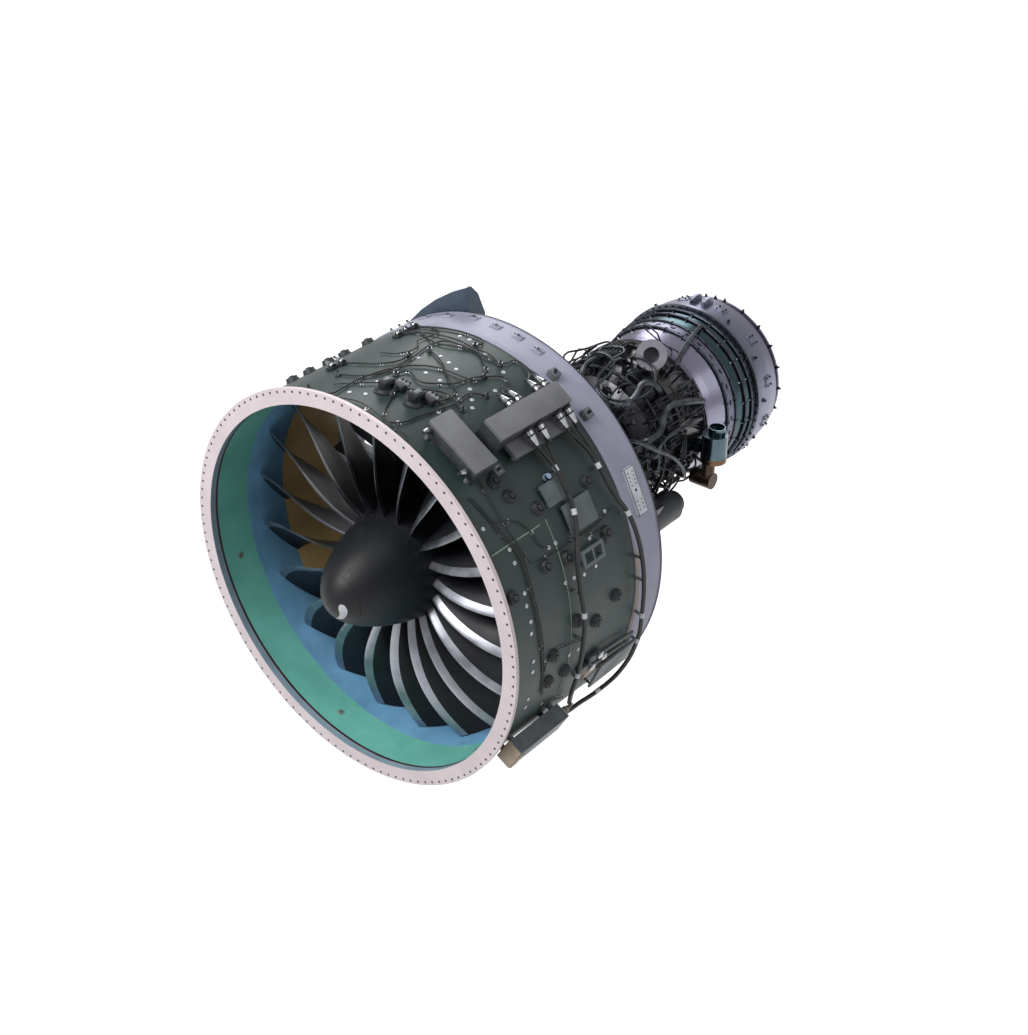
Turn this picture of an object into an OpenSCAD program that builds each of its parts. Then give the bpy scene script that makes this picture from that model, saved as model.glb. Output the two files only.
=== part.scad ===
// Geared turbofan engine, bare: fan case, fan, reduction gear, core, accessories and wiring.
// Frame: origin at the centre of the front flange face, +Y aft, +Z up, +X the engine's left side.
// Clock angles run in degrees from the top towards +X. Lengths are millimetres.

/* [Fan case] */
// Inner radius of the rear liner and the rear ring
duct_r = 1031; // [1021:1:1041]
// Thickness of the rear liner
liner_t = 29; // [25:1:33]
// How far the bore of the front flange stands inside the rear liner
bore_step = 4; // [2:0.5:6]
// How far the inlet liner stands inside the rear liner
inlet_step = 1; // [0.5:0.5:3]
// How far the fan track liner stands inside the rear liner
track_step = 2; // [0.5:0.5:3]
// Wall of the barrel at the front
wall_front = 20; // [16:1:24]
// Wall of the barrel at the rear
wall_rear = 40; // [34:1:42]
// Height of the front flange and the rear ring over the rear of the barrel
ring_step = 12; // [8:1:18]
// Thickness of the front flange
flange_t = 20; // [16:1:24]
// Depth of the sleeve behind the front flange
recess_len = 42; // [34:1:46]
// Number of holes in the front flange
hole_n = 120; // [60:4:120]
// Radius of a flange hole
hole_r = 5; // [4:0.5:6]
// Distance of the flange holes from the flange's outer edge
hole_edge = 19; // [16:1:20]
// Station of the barrel's rear end
case_len = 975; // [965:1:985]
// Length of the rear ring
ring_len = 224; // [200:1:230]
// Width of the dark seal ring
seal_w = 10; // [6:1:14]
// Station where the inlet liner ends
inlet_end = 268; // [255:1:285]
// Station where the fan track liner ends
track_end = 533; // [515:1:555]

/* [Fan] */
// Number of fan blades
blade_n = 20; // [18:1:20]
// Gap between the blade tips and the radius of the rear liner
tip_gap = 10; // [7:0.5:20]
// Station of the spinner base and the hub front
hub_y = 300; // [294:1:304]
// Length of the fan hub
hub_len = 260; // [256:1:264]
// Radius of the hub rim
hub_r = 262; // [256:1:266]
// Platform radius at the hub front
plat_front_r = 295; // [288:1:300]
// Platform radius at the hub rear
plat_rear_r = 378; // [360:1:382]
// Chord of the blade at the root
chord_root = 236; // [220:1:240]
// Thickness of the blade at the root
thick_root = 24; // [18:1:28]
// Thickness of the blade at the tip
thick_tip = 7; // [5:0.5:9]
// Half width of the blade root neck
neck_w = 12; // [9:0.5:14]
// Half width of the blade root foot
foot_w = 18; // [16:0.5:20]
// Length of the spinner ahead of the hub
spinner_len = 425; // [380:1:440]
// Length of the spinner nose cap
cap_len = 80; // [60:1:100]
// Wall of the spinner shell
spinner_wall = 8; // [5:0.5:10]

/* [Reduction gear] */
// Gear module
gear_m = 5; // [5:0.5:5]
// Teeth on the sun gear
sun_n = 32; // [32:1:32]
// Teeth on each star gear
star_n = 33; // [33:1:33]
// Teeth on the ring gear
ring_n = 98; // [98:1:98]
// Play between meshing teeth
backlash = 1.2; // [0.9:0.1:1.4]
// Width of the gears
gear_w = 64; // [54:1:68]
// Radius of a star gear's journal pin
pin_r = 35; // [28:1:40]
// Thickness of the gear carrier
carrier_t = 22; // [18:1:24]

/* [Shafts] */
// Outer radius of the fan shaft
fan_shaft_r = 95; // [90:1:98]
// Outer radius of the low-pressure shaft
low_r = 50; // [44:1:52]
// Outer radius of the high-pressure shaft
high_r = 76; // [70:1:80]
// Bore radius of the fan bearing housing
fan_housing_r = 118; // [114:1:122]
// Bore radius of the high-pressure bearing housings
high_housing_r = 105; // [100:1:110]
// Bore radius of the low-pressure bearing housings
low_housing_r = 75; // [70:1:80]

/* [Core] */
// Radius of the frame ring that carries the guide vanes
frame_r = 565; // [556:1:572]
// Number of fan exit guide vanes
vane_n = 28; // [20:1:30]
// Axial chord of a guide vane
vane_chord = 150; // [120:1:160]
// Station of the compressor case front
lpc_y = 800; // [796:1:806]
// Radius of the diffuser case
diffuser_r = 400; // [394:1:406]
// Number of fuel nozzles
nozzle_n = 16; // [12:1:16]
// Radius of the fuel ring tube
fuel_tube_r = 11; // [8:0.5:13]
// Radius of a clearance ring tube
clear_tube_r = 8; // [6:0.5:9]
// Radius of the exhaust case rear flange
exhaust_r = 498; // [494:1:502]
// Number of holes in the exhaust case rear flange
exhaust_n = 44; // [22:2:44]
// Radius of an exhaust flange hole
exhaust_hole_r = 4; // [3:0.5:5]
// Number of exhaust case struts
strut_n = 12; // [8:1:14]
// Bore radius of the rear mount lugs
lug_bore_r = 12; // [9:0.5:14]

/* [Accessories] */
// Outer radius of the accessory gearbox
gearbox_r = 600; // [585:1:615]
// Radius of the generator
generator_r = 98; // [80:1:102]
// Radius of the starter
starter_r = 72; // [60:1:76]
// Radius of the oil tank
tank_r = 78; // [66:1:82]
// Height of the oil tank
tank_h = 180; // [160:1:200]
// Radius of the bleed duct flange
duct_flange_r = 93; // [80:1:96]
// Bore radius of the bleed duct
duct_bore_r = 48; // [40:1:50]
// Radius of the air pipes
air_pipe_r = 20; // [14:0.5:22]
// Radius of the oil pipes
oil_pipe_r = 12; // [8:0.5:13]
// Radius of the small tubes on the core
tube_r = 6; // [4:0.5:7]

/* [Case equipment] */
// Width of the front control box
box1_w = 330; // [280:1:350]
// Length of the front control box
box1_len = 145; // [120:1:160]
// Height of the front control box
box1_h = 78; // [60:1:92]
// Width of the rear control box
box2_w = 124; // [100:1:140]
// Length of the rear control box
box2_len = 530; // [480:1:550]
// Height of the rear control box
box2_h = 98; // [72:1:112]
// Radius of a bumper
bumper_r = 32; // [24:1:36]
// Height of a bumper
bumper_h = 24; // [16:1:30]
// Radius of the wiring harnesses
cable_r = 12; // [8:0.5:14]
// Height of the harness clamps over the barrel's rear end
clamp_h = 28; // [24:1:38]
// Height of the top bracket over the rear ring
bracket_h = 138; // [110:1:150]

/* [Hidden] */
// Clearance between seated pieces
fit = 0.3;
case_in_r = duct_r + liner_t;
case_front_r = case_in_r + wall_front;
case_rear_r = case_in_r + wall_rear;
flange_r = case_rear_r + ring_step;
bore_r = duct_r - bore_step;
inlet_r = duct_r - inlet_step;
track_r = duct_r - track_step;
fan_r = duct_r - tip_gap;
ring_end = case_len + ring_len;
hole_pcr = flange_r - hole_edge;
hub_end = hub_y + hub_len;
gear_y = 664;
gear_end = gear_y + gear_w + 8;
carrier_y = gear_end + 6;
sun_pr = gear_m * sun_n / 2;
star_pr = gear_m * star_n / 2;
ring_pr = gear_m * ring_n / 2;
star_c = sun_pr + star_pr;
ring_out_r = ring_pr + 33;
vane_y = 935;
lpc_end = lpc_y + 350;
hpc_y = 1420;
hpc_end = 2060;
dif_end = 2420;
hpt_end = 2660;
lpt_end = 3110;
exh_end = 3420;
nozzle_y = 2200;
slot_floor = hub_r - 26;

// Turned and placed shapes

module turn(pts, fine = 96) {
    rotate([-90, 0, 0]) rotate_extrude($fn = fine) polygon(pts);
}

// Part of a turned shape, a degrees wide, centred on the top
module turn_part(pts, a) {
    rotate([-90, 0, 0]) rotate([0, 0, -90 - a / 2]) rotate_extrude(angle = a, $fn = 96) polygon(pts);
}

module at_clock(a) {
    rotate([0, a, 0]) children();
}

// Cylinder along the engine axis from y0 to y1, at height z over the axis
module axial(r, y0, y1, z) {
    translate([0, y0, z]) rotate([-90, 0, 0]) cylinder(r = r, h = y1 - y0, $fn = 48);
}

// Cylinder standing outwards from radius r0 to r1
module post(r, y, r0, r1) {
    translate([0, y, r0]) cylinder(r = r, h = r1 - r0, $fn = 48);
}

// Flat strip drawn by its outline in station and radius, t thick across
module strip(pts, t) {
    translate([t / 2, 0, 0]) rotate([90, 0, 90]) mirror([0, 0, 1]) linear_extrude(t) polygon(pts);
}

// Row of flat compressor or turbine blades
module plates(n, r0, r1, y, chord, lean, t, first = 0) {
    for (i = [0:n - 1])
        at_clock(first + 360 * i / n) translate([0, y, r0]) rotate([0, 0, lean])
            translate([-t / 2, -chord / 2, 0]) cube([t, chord, r1 - r0]);
}

// Roller bearing: outer ring with its rollers, open to the shaft
module bearing(y, w, r_in, r_out, n) {
    roll = (r_out - 7 - r_in) / 2 + 0.4;
    turn([[r_out - 7, y], [r_out, y], [r_out, y + w], [r_out - 7, y + w]]);
    for (i = [0:n - 1]) at_clock(360 * i / n) axial(roll, y + 4, y + w - 4, r_in + roll);
}

// Swept tubes along a route

function unit(v) = v / norm(v);
function on_route(y, a, r) = [r * sin(a), y, r * cos(a)];
// One pass of corner cutting that keeps both ends
function cut_corners(p) = concat(
    [p[0]],
    [for (i = [0:len(p) - 2], k = [0, 1]) if (!(i == 0 && k == 0) && !(i == len(p) - 2 && k == 1))
        k == 0 ? p[i] * 0.75 + p[i + 1] * 0.25 : p[i] * 0.25 + p[i + 1] * 0.75],
    [p[len(p) - 1]]);
function heading(p, i) =
    i == 0 ? unit(p[1] - p[0]) :
    i == len(p) - 1 ? unit(p[i] - p[i - 1]) :
    unit(unit(p[i + 1] - p[i]) + unit(p[i] - p[i - 1]));
function first_side(t) = unit(cross(t, abs(t[2]) < 0.8 ? [0, 0, 1] : [1, 0, 0]));
function next_side(s, t) = unit(s - (s * t) * t);
function sides(p, i, s) =
    i == len(p) ? [] :
    let (t = heading(p, i), u = i == 0 ? first_side(t) : next_side(s, t)) concat([u], sides(p, i + 1, u));

module sweep(p, r, n) {
    m = len(p);
    s = sides(p, 0, [0, 0, 0]);
    pts = [for (i = [0:m - 1], k = [0:n - 1])
        let (t = heading(p, i), v = cross(t, s[i]))
        p[i] + r * (cos(360 * k / n) * s[i] + sin(360 * k / n) * v)];
    skin = [for (i = [0:m - 2], k = [0:n - 1], h = [0, 1])
        let (a = i * n + k, b = i * n + (k + 1) % n)
        h == 0 ? [a, a + n, b + n] : [a, b + n, b]];
    polyhedron(points = pts, faces = concat([[for (k = [0:n - 1]) k]], skin,
        [[for (k = [0:n - 1]) m * n - 1 - k]]), convexity = 6);
}

// Tube through stops given as station, clock angle and radius
module pipe(stops, r, n = 8) {
    sweep(cut_corners(cut_corners([for (q = stops) on_route(q[0], q[1], q[2])])), r, n);
}

// Cable that follows the round case, smoothed in station, clock angle and radius
module case_cable(stops, r, n = 8) {
    sweep([for (q = cut_corners(stops)) on_route(q[0], q[1], q[2])], r, n);
}

// Fan case

function case_r(y) = y > case_len ? flange_r - 3
    : case_front_r + (case_rear_r - case_front_r) * max(0, y - 60) / (case_len - 60);

// Envelope of the barrel and rear ring, used to seat what stands on them
module case_envelope() {
    turn([
        [case_in_r - 160, -20],
        [case_front_r + fit, -20],
        [case_front_r + fit, 60],
        [case_rear_r + fit, case_len],
        [case_rear_r + 4 + fit, case_len - fit],
        [flange_r - 3 + fit, case_len + 25 - fit],
        [flange_r - 3 + fit, ring_end - 12 - fit],
        [flange_r + fit, ring_end - 12 - fit],
        [flange_r + fit, ring_end + 20],
        [case_in_r - 160, ring_end + 20]
    ], 360);
}

module on_case() {
    difference() {
        union() children();
        case_envelope();
    }
}

module front_attach_ring() {
    color("#d5c9cd") difference() {
        turn([
            [bore_r, 0],
            [flange_r, 0],
            [flange_r, flange_t],
            [bore_r + 22, flange_t],
            [bore_r + 22, recess_len],
            [bore_r + 5, recess_len]
        ]);
        for (i = [0:hole_n - 1]) at_clock(360 * i / hole_n) axial(hole_r, -2, flange_t + 2, hole_pcr);
    }
}

module lining(y0, y1, r) {
    turn([[r, y0], [case_in_r - fit, y0], [case_in_r - fit, y1], [r, y1]]);
}

module inlet_seal() {
    color("#3a1d22") lining(recess_len, recess_len + seal_w, inlet_r + 4);
}

module inlet_liner() {
    color("#4b9484") lining(recess_len + seal_w, inlet_end, inlet_r);
}

module fan_track_liner() {
    color("#4f7796") lining(inlet_end, track_end, track_r);
}

module rear_liner() {
    color("#8a6d35") lining(track_end, case_len, duct_r);
}

module fan_case() {
    color("#45554f") turn([
        [case_in_r, flange_t],
        [case_front_r, flange_t],
        [case_front_r, 60],
        [case_rear_r, case_len],
        [case_in_r, case_len]
    ]);
}

module rear_ring() {
    color("#9696a8") turn([
        [duct_r, case_len],
        [case_rear_r + 4, case_len],
        [flange_r - 3, case_len + 25],
        [flange_r - 3, ring_end - 12],
        [flange_r, ring_end - 12],
        [flange_r, ring_end],
        [flange_r - 14, ring_end],
        [flange_r - 14, case_len + 40],
        [duct_r + 14, case_len + 40],
        [duct_r + 14, ring_end],
        [duct_r, ring_end]
    ]);
}

// Guide vane section: turns the swirl of the fan back to the axis
function vane_mid(u) = [30 * (1 - (1 - u) * (1 - u)) - 20, vane_y + vane_chord * u];
function vane_half(u) = 0.8 + 13 * sqrt(u) * (1 - u);
vane_steps = [0, 0.08, 0.22, 0.42, 0.65, 0.85, 1];

module exit_guide_vanes() {
    color("#33363b") for (i = [0:vane_n - 1]) at_clock(360 * (i + 0.5) / vane_n)
        translate([0, 0, frame_r + fit]) linear_extrude(duct_r - 0.9 - frame_r - fit) polygon(concat(
            [for (u = vane_steps) vane_mid(u) - [vane_half(u), 0]],
            [for (k = [6:-1:0]) vane_mid(vane_steps[k]) + [vane_half(vane_steps[k]), 0]]));
}

// Fan rotor

function spinner_r(y) = plat_front_r * sqrt(max(0, 1 - pow((hub_y - y) / spinner_len, 1.3)));
nose_y = hub_y - spinner_len;
cap_y = nose_y + cap_len;

module spinner() {
    color("#2b2c30") turn(concat(
        [for (k = [0:10]) let (y = cap_y + (hub_y - cap_y) * k / 10) [spinner_r(y), y]],
        [[hub_r - 30, hub_y], [hub_r - 30, hub_y - 10]],
        [for (k = [9:-1:1]) let (y = cap_y + (hub_y - cap_y) * k / 10 - (k == 9 ? -24 : 0))
            [spinner_r(y) - spinner_wall, min(y, hub_y - 10)]],
        [[spinner_r(cap_y) - 30, cap_y + 8], [60, cap_y + 8], [60, cap_y]]));
}

module spinner_cap() {
    color("#26272b") turn(concat(
        [for (k = [0:8]) let (y = nose_y + cap_len * pow(k / 8, 1.6)) [spinner_r(y), y]],
        [[0, cap_y]]));
}

// Blade section values, u from 0 at the hub to 1 at the tip
root_r = 275;
le_root_r = 300;
function span_u(r) = (r - le_root_r) / (fan_r + 1 - le_root_r);
function edge_y(u) = hub_y + 18 - 311 * u + 528 * u * u - 180 * u * u * u;
function edge_a(u) = 3.9 + 8.85 * u - 6 * u * u - 5.9 * u * u * u;
function chord_at(u) = chord_root + 150 * u - 73 * u * u;
function stagger_at(u) = 8 + 57 * u - 10.5 * u * u;
function camber_at(u) = 0.1 - 0.075 * u;
function half_thick(u, c) = 0.7 + (thick_root + (thick_tip - thick_root) * u) / 2 * pow(4 * c * (1 - c), 0.6);
chord_steps = [0, 0.06, 0.2, 0.45, 0.7, 0.9, 1];
span_n = 8;
span_steps = [for (k = [0:span_n]) root_r + (fan_r - root_r) * k / span_n];

// Point of the blade surface at chord fraction c; side is +1, -1 or 0 for the edges
function blade_point(r, c, side) =
    let (u = span_u(r), st = stagger_at(u), ch = chord_at(u),
        n = ch * camber_at(u) * 4 * c * (1 - c) + side * half_thick(u, c),
        y = edge_y(u) + ch * c * cos(st) - n * sin(st),
        s = ch * c * sin(st) + n * cos(st),
        a = edge_a(u) - s / r * 180 / PI)
    on_route(y, a, r);

module airfoil() {
    m = len(chord_steps);
    n = 2 * m - 2;
    pts = [for (r = span_steps, k = [0:n - 1])
        k < m ? blade_point(r, chord_steps[k], k == 0 || k == m - 1 ? 0 : 1)
            : blade_point(r, chord_steps[n - k], -1)];
    skin = [for (i = [0:len(span_steps) - 2], k = [0:n - 1], h = [0, 1])
        let (a = i * n + k, b = i * n + (k + 1) % n)
        h == 0 ? [a, b, b + n] : [a, b + n, a + n]];
    top = (len(span_steps) - 1) * n;
    // Both ends are closed with strips between the two faces of the section
    cap = [for (k = [1:m - 2], h = [0, 1])
        h == 0 ? [k - 1, (n - k + 1) % n, k] : [k, (n - k + 1) % n, n - k]];
    last = [[m - 2, n - m + 2, m - 1]];
    ends = concat(cap, last);
    polyhedron(points = pts, faces = concat(skin, ends,
        [for (f = ends) [top + f[0], top + f[2], top + f[1]]]), convexity = 6);
}

function root_outline(play) = [
    [-neck_w + play, hub_r + 4],
    [-neck_w + play, slot_floor + 16 - play],
    [-foot_w + play, slot_floor + 10 - play],
    [-foot_w + play, slot_floor + play],
    [foot_w - play, slot_floor + play],
    [foot_w - play, slot_floor + 10 - play],
    [neck_w - play, slot_floor + 16 - play],
    [neck_w - play, hub_r + 4]
];

// Blade root or hub slot along the axis
module root_bar(play, y0, y1) {
    translate([0, y1, 0]) rotate([90, 0, 0]) linear_extrude(y1 - y0) polygon(root_outline(play));
}

blade_clock = 10;

module fan_blade() {
    airfoil();
    turn_part([
        [hub_r + fit, hub_y],
        [plat_front_r, hub_y],
        [plat_rear_r, hub_end],
        [hub_r + fit, hub_end]
    ], 360 / blade_n - 0.15);
    root_bar(fit, hub_y, hub_end);
}

module fan_blades() {
    color("#33343a") for (i = [0:blade_n - 1]) at_clock(blade_clock + 360 * i / blade_n) fan_blade();
}

module fan_hub() {
    color("#6d7076") difference() {
        turn([
            [hub_r - 37, hub_y],
            [hub_r, hub_y],
            [hub_r, hub_end],
            [hub_r - 37, hub_end],
            [hub_r - 42, 476],
            [140, 470],
            [80, 470],
            [80, 440],
            [140, 440],
            [hub_r - 42, 434]
        ]);
        for (i = [0:blade_n - 1]) at_clock(blade_clock + 360 * i / blade_n)
            root_bar(0, hub_y - 2, hub_end + 2);
    }
}

module fan_shaft() {
    color("#7c7f86") turn([
        [80, 470],
        [140, 470],
        [140, 484],
        [fan_shaft_r, 490],
        [fan_shaft_r, 646],
        [ring_out_r, 652],
        [ring_out_r, gear_y],
        [110, gear_y],
        [80, 650]
    ]);
}

// Reduction gear

function involute(a) = tan(a) * 180 / PI - a;
function roll_angle(rb, r) = r > rb ? acos(rb / r) : 0;
// Half the angle of a tooth at radius r, with the pitch-circle width changed by extra
function tooth_half(n, r, extra) = let (rp = gear_m * n / 2, rb = rp * cos(20))
    90 / n + extra / rp * 90 / PI + involute(20) - involute(roll_angle(rb, r));
function polar(r, a) = [r * cos(a), r * sin(a)];
function tooth_outline(n, radii, extra) = [for (i = [0:n - 1], k = [0:2 * len(radii) - 1])
    let (m = len(radii), r = k < m ? radii[k] : radii[2 * m - 1 - k])
    polar(r, 360 * i / n + (k < m ? -1 : 1) * tooth_half(n, r, extra))];

module gear_outline(n) {
    rp = gear_m * n / 2;
    polygon(tooth_outline(n, [rp - 1.2 * gear_m, rp - 0.5 * gear_m, rp + 0.2 * gear_m, rp + 0.85 * gear_m],
        -backlash / 2));
}

// Lays a shape drawn around the local z axis along the engine axis at station y
module along(y) {
    translate([0, y, 0]) rotate([-90, 0, 0]) children();
}

module ring_gear() {
    color("#8b8d92") along(gear_y) linear_extrude(gear_w + 8) difference() {
        circle(r = ring_out_r, $fn = 96);
        rotate(-90 + 180 / ring_n) polygon(tooth_outline(ring_n,
            [ring_pr - 0.85 * gear_m, ring_pr - 0.2 * gear_m, ring_pr + 0.5 * gear_m,
            ring_pr + 1.2 * gear_m], backlash / 2));
    }
}

function star_angle(j) = -90 + 72 * (j - 1);

module star_gear(j) {
    e = (-72 * (j - 1)) % (360 / sun_n);
    color("#96989d") along(gear_y + 4) rotate(star_angle(j)) translate([star_c, 0, 0])
        rotate(180 - e * sun_n / star_n) linear_extrude(gear_w) difference() {
            gear_outline(star_n);
            circle(r = pin_r + fit, $fn = 64);
        }
}

module star_gear_1() { star_gear(1); }
module star_gear_2() { star_gear(2); }
module star_gear_3() { star_gear(3); }
module star_gear_4() { star_gear(4); }
module star_gear_5() { star_gear(5); }

module sun_gear() {
    color("#96989d") along(gear_y + 4) rotate(-90 + 180 / sun_n) linear_extrude(gear_w) difference() {
        gear_outline(sun_n);
        circle(r = low_r + fit, $fn = 64);
    }
}

module gear_carrier() {
    color("#5f6268") {
        turn([[72, carrier_y], [322, carrier_y], [322, carrier_y + carrier_t], [72, carrier_y + carrier_t]]);
        for (j = [1:5]) along(gear_y + 4) rotate(star_angle(j)) translate([star_c, 0, 0])
            cylinder(r = pin_r, h = carrier_y - gear_y, $fn = 64);
    }
}

module bearings() {
    color("#a0a2a6") {
        bearing(500, 30, fan_shaft_r + fit, fan_housing_r - fit, 24);
        bearing(606, 30, fan_shaft_r + fit, fan_housing_r - fit, 24);
        bearing(1166, 30, low_r + fit, low_housing_r - fit, 18);
        bearing(1386, 28, high_r + fit, high_housing_r - fit, 20);
        bearing(2370, 28, high_r + fit, high_housing_r - fit, 20);
        bearing(3180, 30, low_r + fit, low_housing_r - fit, 18);
    }
}

// Core cases

body_y = hub_end + 8;
flange_in_y = carrier_y + carrier_t;

module core_inlet_body() {
    color("#4a4d52") {
        // Inner wall of the core inlet
        turn([[383, body_y], [360, 700], [333, lpc_y], [321, lpc_y], [348, 700], [371, body_y]]);
        // Splitter with its rear flange
        turn([
            [476, 640],
            [508, 700],
            [550, 780],
            [frame_r, 788],
            [frame_r, lpc_y],
            [430, lpc_y],
            [464, 700],
            [473, 645]
        ]);
        for (i = [0:7]) at_clock(22.5 + 45 * i) strip([[690, 356], [780, 332], [780, 440], [690, 470]], 12);
        // Carrier flange
        turn([[296, flange_in_y], [334, flange_in_y], [330, 784], [296, 784]]);
        // Bearing support
        turn([
            [373, 586],
            [370, 606],
            [fan_housing_r + 22, 602],
            [fan_housing_r + 22, 640],
            [fan_housing_r, 640],
            [fan_housing_r, 496],
            [fan_housing_r + 22, 496],
            [fan_housing_r + 22, 582]
        ]);
    }
}

function lpc_in(y) = 430 - 28 * (y - lpc_y) / 350;
function lpc_hub(y) = 331 + 17 * (y - lpc_y - 20) / 310;

module low_compressor_case() {
    color("#54575d") {
        turn([
            [430, lpc_y],
            [498, lpc_y],
            [498, lpc_y + 12],
            [448, lpc_y + 16],
            [422, lpc_end - 16],
            [470, lpc_end - 12],
            [470, lpc_end],
            [402, lpc_end]
        ]);
        for (k = [0:2]) let (y = lpc_y + 102 + 105 * k)
            plates(36, lpc_hub(y) + 6, lpc_in(y) + 6, y, 50, -40, 4);
    }
}

module intermediate_case() {
    color("#4d5056") difference() {
        union() {
            turn([
                [frame_r, lpc_y],
                [frame_r, 1085],
                [452, 1185],
                [430, 1200],
                [345, 1400],
                [365, 1405],
                [365, hpc_y],
                [290, hpc_y],
                [300, 1400],
                [400, 1180],
                [402, lpc_end],
                [470, lpc_end],
                [470, lpc_end + 15],
                [455, lpc_end + 15],
                [frame_r - 20, 1085],
                [frame_r - 20, lpc_y + 12],
                [500, lpc_y + 12],
                [500, lpc_y]
            ]);
            // Inner wall with the two bearing webs
            turn([[348, 1158], [188, hpc_y - 2], [174, hpc_y - 2], [334, 1158]]);
            turn([[low_housing_r, 1160], [338, 1160], [328, 1178], [low_housing_r, 1178]]);
            turn([[low_housing_r, 1160], [low_housing_r + 12, 1160], [low_housing_r + 12, 1206],
                [low_housing_r, 1206]]);
            turn([[high_housing_r, 1384], [199, 1384], [181, hpc_y - 2], [high_housing_r, hpc_y - 2]]);
            for (i = [0:7]) at_clock(45 * i) strip([[1230, 290], [1330, 230], [1330, 345], [1230, 390]], 14);
            // Front mount pad
            strip([[1200, 402], [1340, 352], [1340, 468], [1200, 468]], 220);
        }
        for (x = [-80, 80], y = [1225, 1315])
            translate([x, y, 430]) cylinder(r = 9, h = 60, $fn = 48);
    }
}

function hpc_in(y) = 290 - 38 * (y - hpc_y) / 640;
function hpc_hub(y) = 192 + 36 * (y - hpc_y - 30) / 565;

module high_compressor_case() {
    color("#5a5c60") {
        turn([
            [290, hpc_y],
            [365, hpc_y],
            [365, hpc_y + 15],
            [308, hpc_y + 20],
            [294, 1735],
            [330, 1738],
            [330, 1752],
            [293, 1755],
            [280, hpc_end - 15],
            [340, hpc_end - 15],
            [340, hpc_end],
            [252, hpc_end]
        ]);
        // Split-line flanges on both sides
        for (a = [90, 270]) at_clock(a)
            strip([[hpc_y + 30, 300], [1700, 288], [1700, 322], [hpc_y + 30, 330]], 30);
        for (k = [0:7]) let (y = hpc_y + 81 + 72 * k)
            plates(24, hpc_hub(y) + 6, hpc_in(y) + 6, y, 30, -40, 3, 7.5);
    }
}

module diffuser_case() {
    color("#5d5b5a") difference() {
        union() {
            turn([
                [256, hpc_end],
                [340, hpc_end],
                [340, hpc_end + 15],
                [305, hpc_end + 20],
                [diffuser_r, 2165],
                [diffuser_r, dif_end - 16],
                [430, dif_end - 14],
                [430, dif_end],
                [diffuser_r - 15, dif_end],
                [diffuser_r - 15, 2172],
                [290, 2090]
            ]);
            turn([[208, 2062], [222, 2062], [222, 2400], [208, 2400]]);
            turn([[high_housing_r, 2368], [212, 2368], [212, 2400], [high_housing_r, 2400]]);
            for (i = [0:15]) at_clock(22.5 * i)
                strip([[2068, 215], [2100, 215], [2100, 308], [2068, 275]], 6);
        }
        for (i = [0:nozzle_n - 1]) at_clock(360 * i / nozzle_n) post(14, nozzle_y, 340, 440);
    }
}

module combustor() {
    color("#6a5a50") turn([
        [262, 2235],
        [368, 2235],
        [368, dif_end],
        [362, dif_end],
        [362, 2245],
        [268, 2245],
        [268, dif_end],
        [262, dif_end]
    ]);
}

nozzle_top = diffuser_r + 38;

module fuel_nozzles() {
    color("#77797c") for (i = [0:nozzle_n - 1]) at_clock(360 * i / nozzle_n) {
        post(24, nozzle_y, diffuser_r + fit, diffuser_r + 14);
        post(13, nozzle_y, diffuser_r + 10, nozzle_top);
        post(11, nozzle_y, 306, diffuser_r + 10);
        axial(16, nozzle_y - 18, 2235 - fit, 315);
    }
}

// Small tubes on the core: foot, run along the axis, turn round the case, foot, with a block at each bend
block_wall = 2;
block_sink = 1;
foot_gap = 0.6;
nest_y = 20;
nest_turn = 1.5;

function core_out(y) = y < hpc_end ? hpc_out(y) : y < dif_end ? diffuser_r : hpt_out(y);
function block_turn(r) = (tube_r + block_wall) / r * 180 / PI;

// Part turn of a profile from one clock angle to another
module swept(a0, a1) {
    at_clock(a0) rotate([-90, 0, 0]) rotate([0, 0, -90]) rotate_extrude(angle = a1 - a0, $fn = 96) children();
}

// Block with flat ends and with sides that point to the shaft
module bend_block(y, a, r) {
    h = tube_r + block_wall;
    slope = tan(block_turn(r));
    at_clock(a) translate([0, y + h, 0]) rotate([90, 0, 0]) linear_extrude(2 * h) polygon([
        [-(r - h) * slope, r - h],
        [(r - h) * slope, r - h],
        [(r + h) * slope, r + h],
        [-(r + h) * slope, r + h]
    ]);
}

module foot(y, a, r) {
    at_clock(a) post(tube_r, y, core_out(y) + foot_gap, r - tube_r - block_wall + block_sink);
    bend_block(y, a, r);
}

module core_tube(y0, a0, y1, a1, r) {
    reach = tube_r + block_wall - block_sink;
    arc = reach / r * 180 / PI;
    foot(y0, a0, r);
    at_clock(a0) axial(tube_r, y0 + reach, y1 - reach, r);
    bend_block(y1, a0, r);
    swept(a0 + arc, a1 - arc) translate([r, y1]) rotate(22.5) circle(r = tube_r, $fn = 8);
    foot(y1, a1, r);
}

// Nested tubes: first clock angle, count, pitch, first and last station, end clock angle, radius
tube_groups = [
    [-62, 6, 4, 2240, 2618, -38, 470],
    [-26, 5, 4, 2240, 2618, -2, 470],
    [47, 3, 3.2, 2235, 2618, 55.5, 470],
    [66.5, 2, 2.8, 2235, 2618, 84, 470],
    [76.5, 3, 3, 2235, 2394, 97, 470],
    [99, 3, 3, 2235, 2312, 114, 470],
    [-50, 6, 4.5, 1500, 2026, -20, 380],
    [8, 5, 4.5, 1520, 2026, 28, 380],
    [47.5, 3, 3, 1520, 1930, 72, 380],
    [84, 5, 3.5, 1780, 2026, 104, 380]
];

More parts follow.
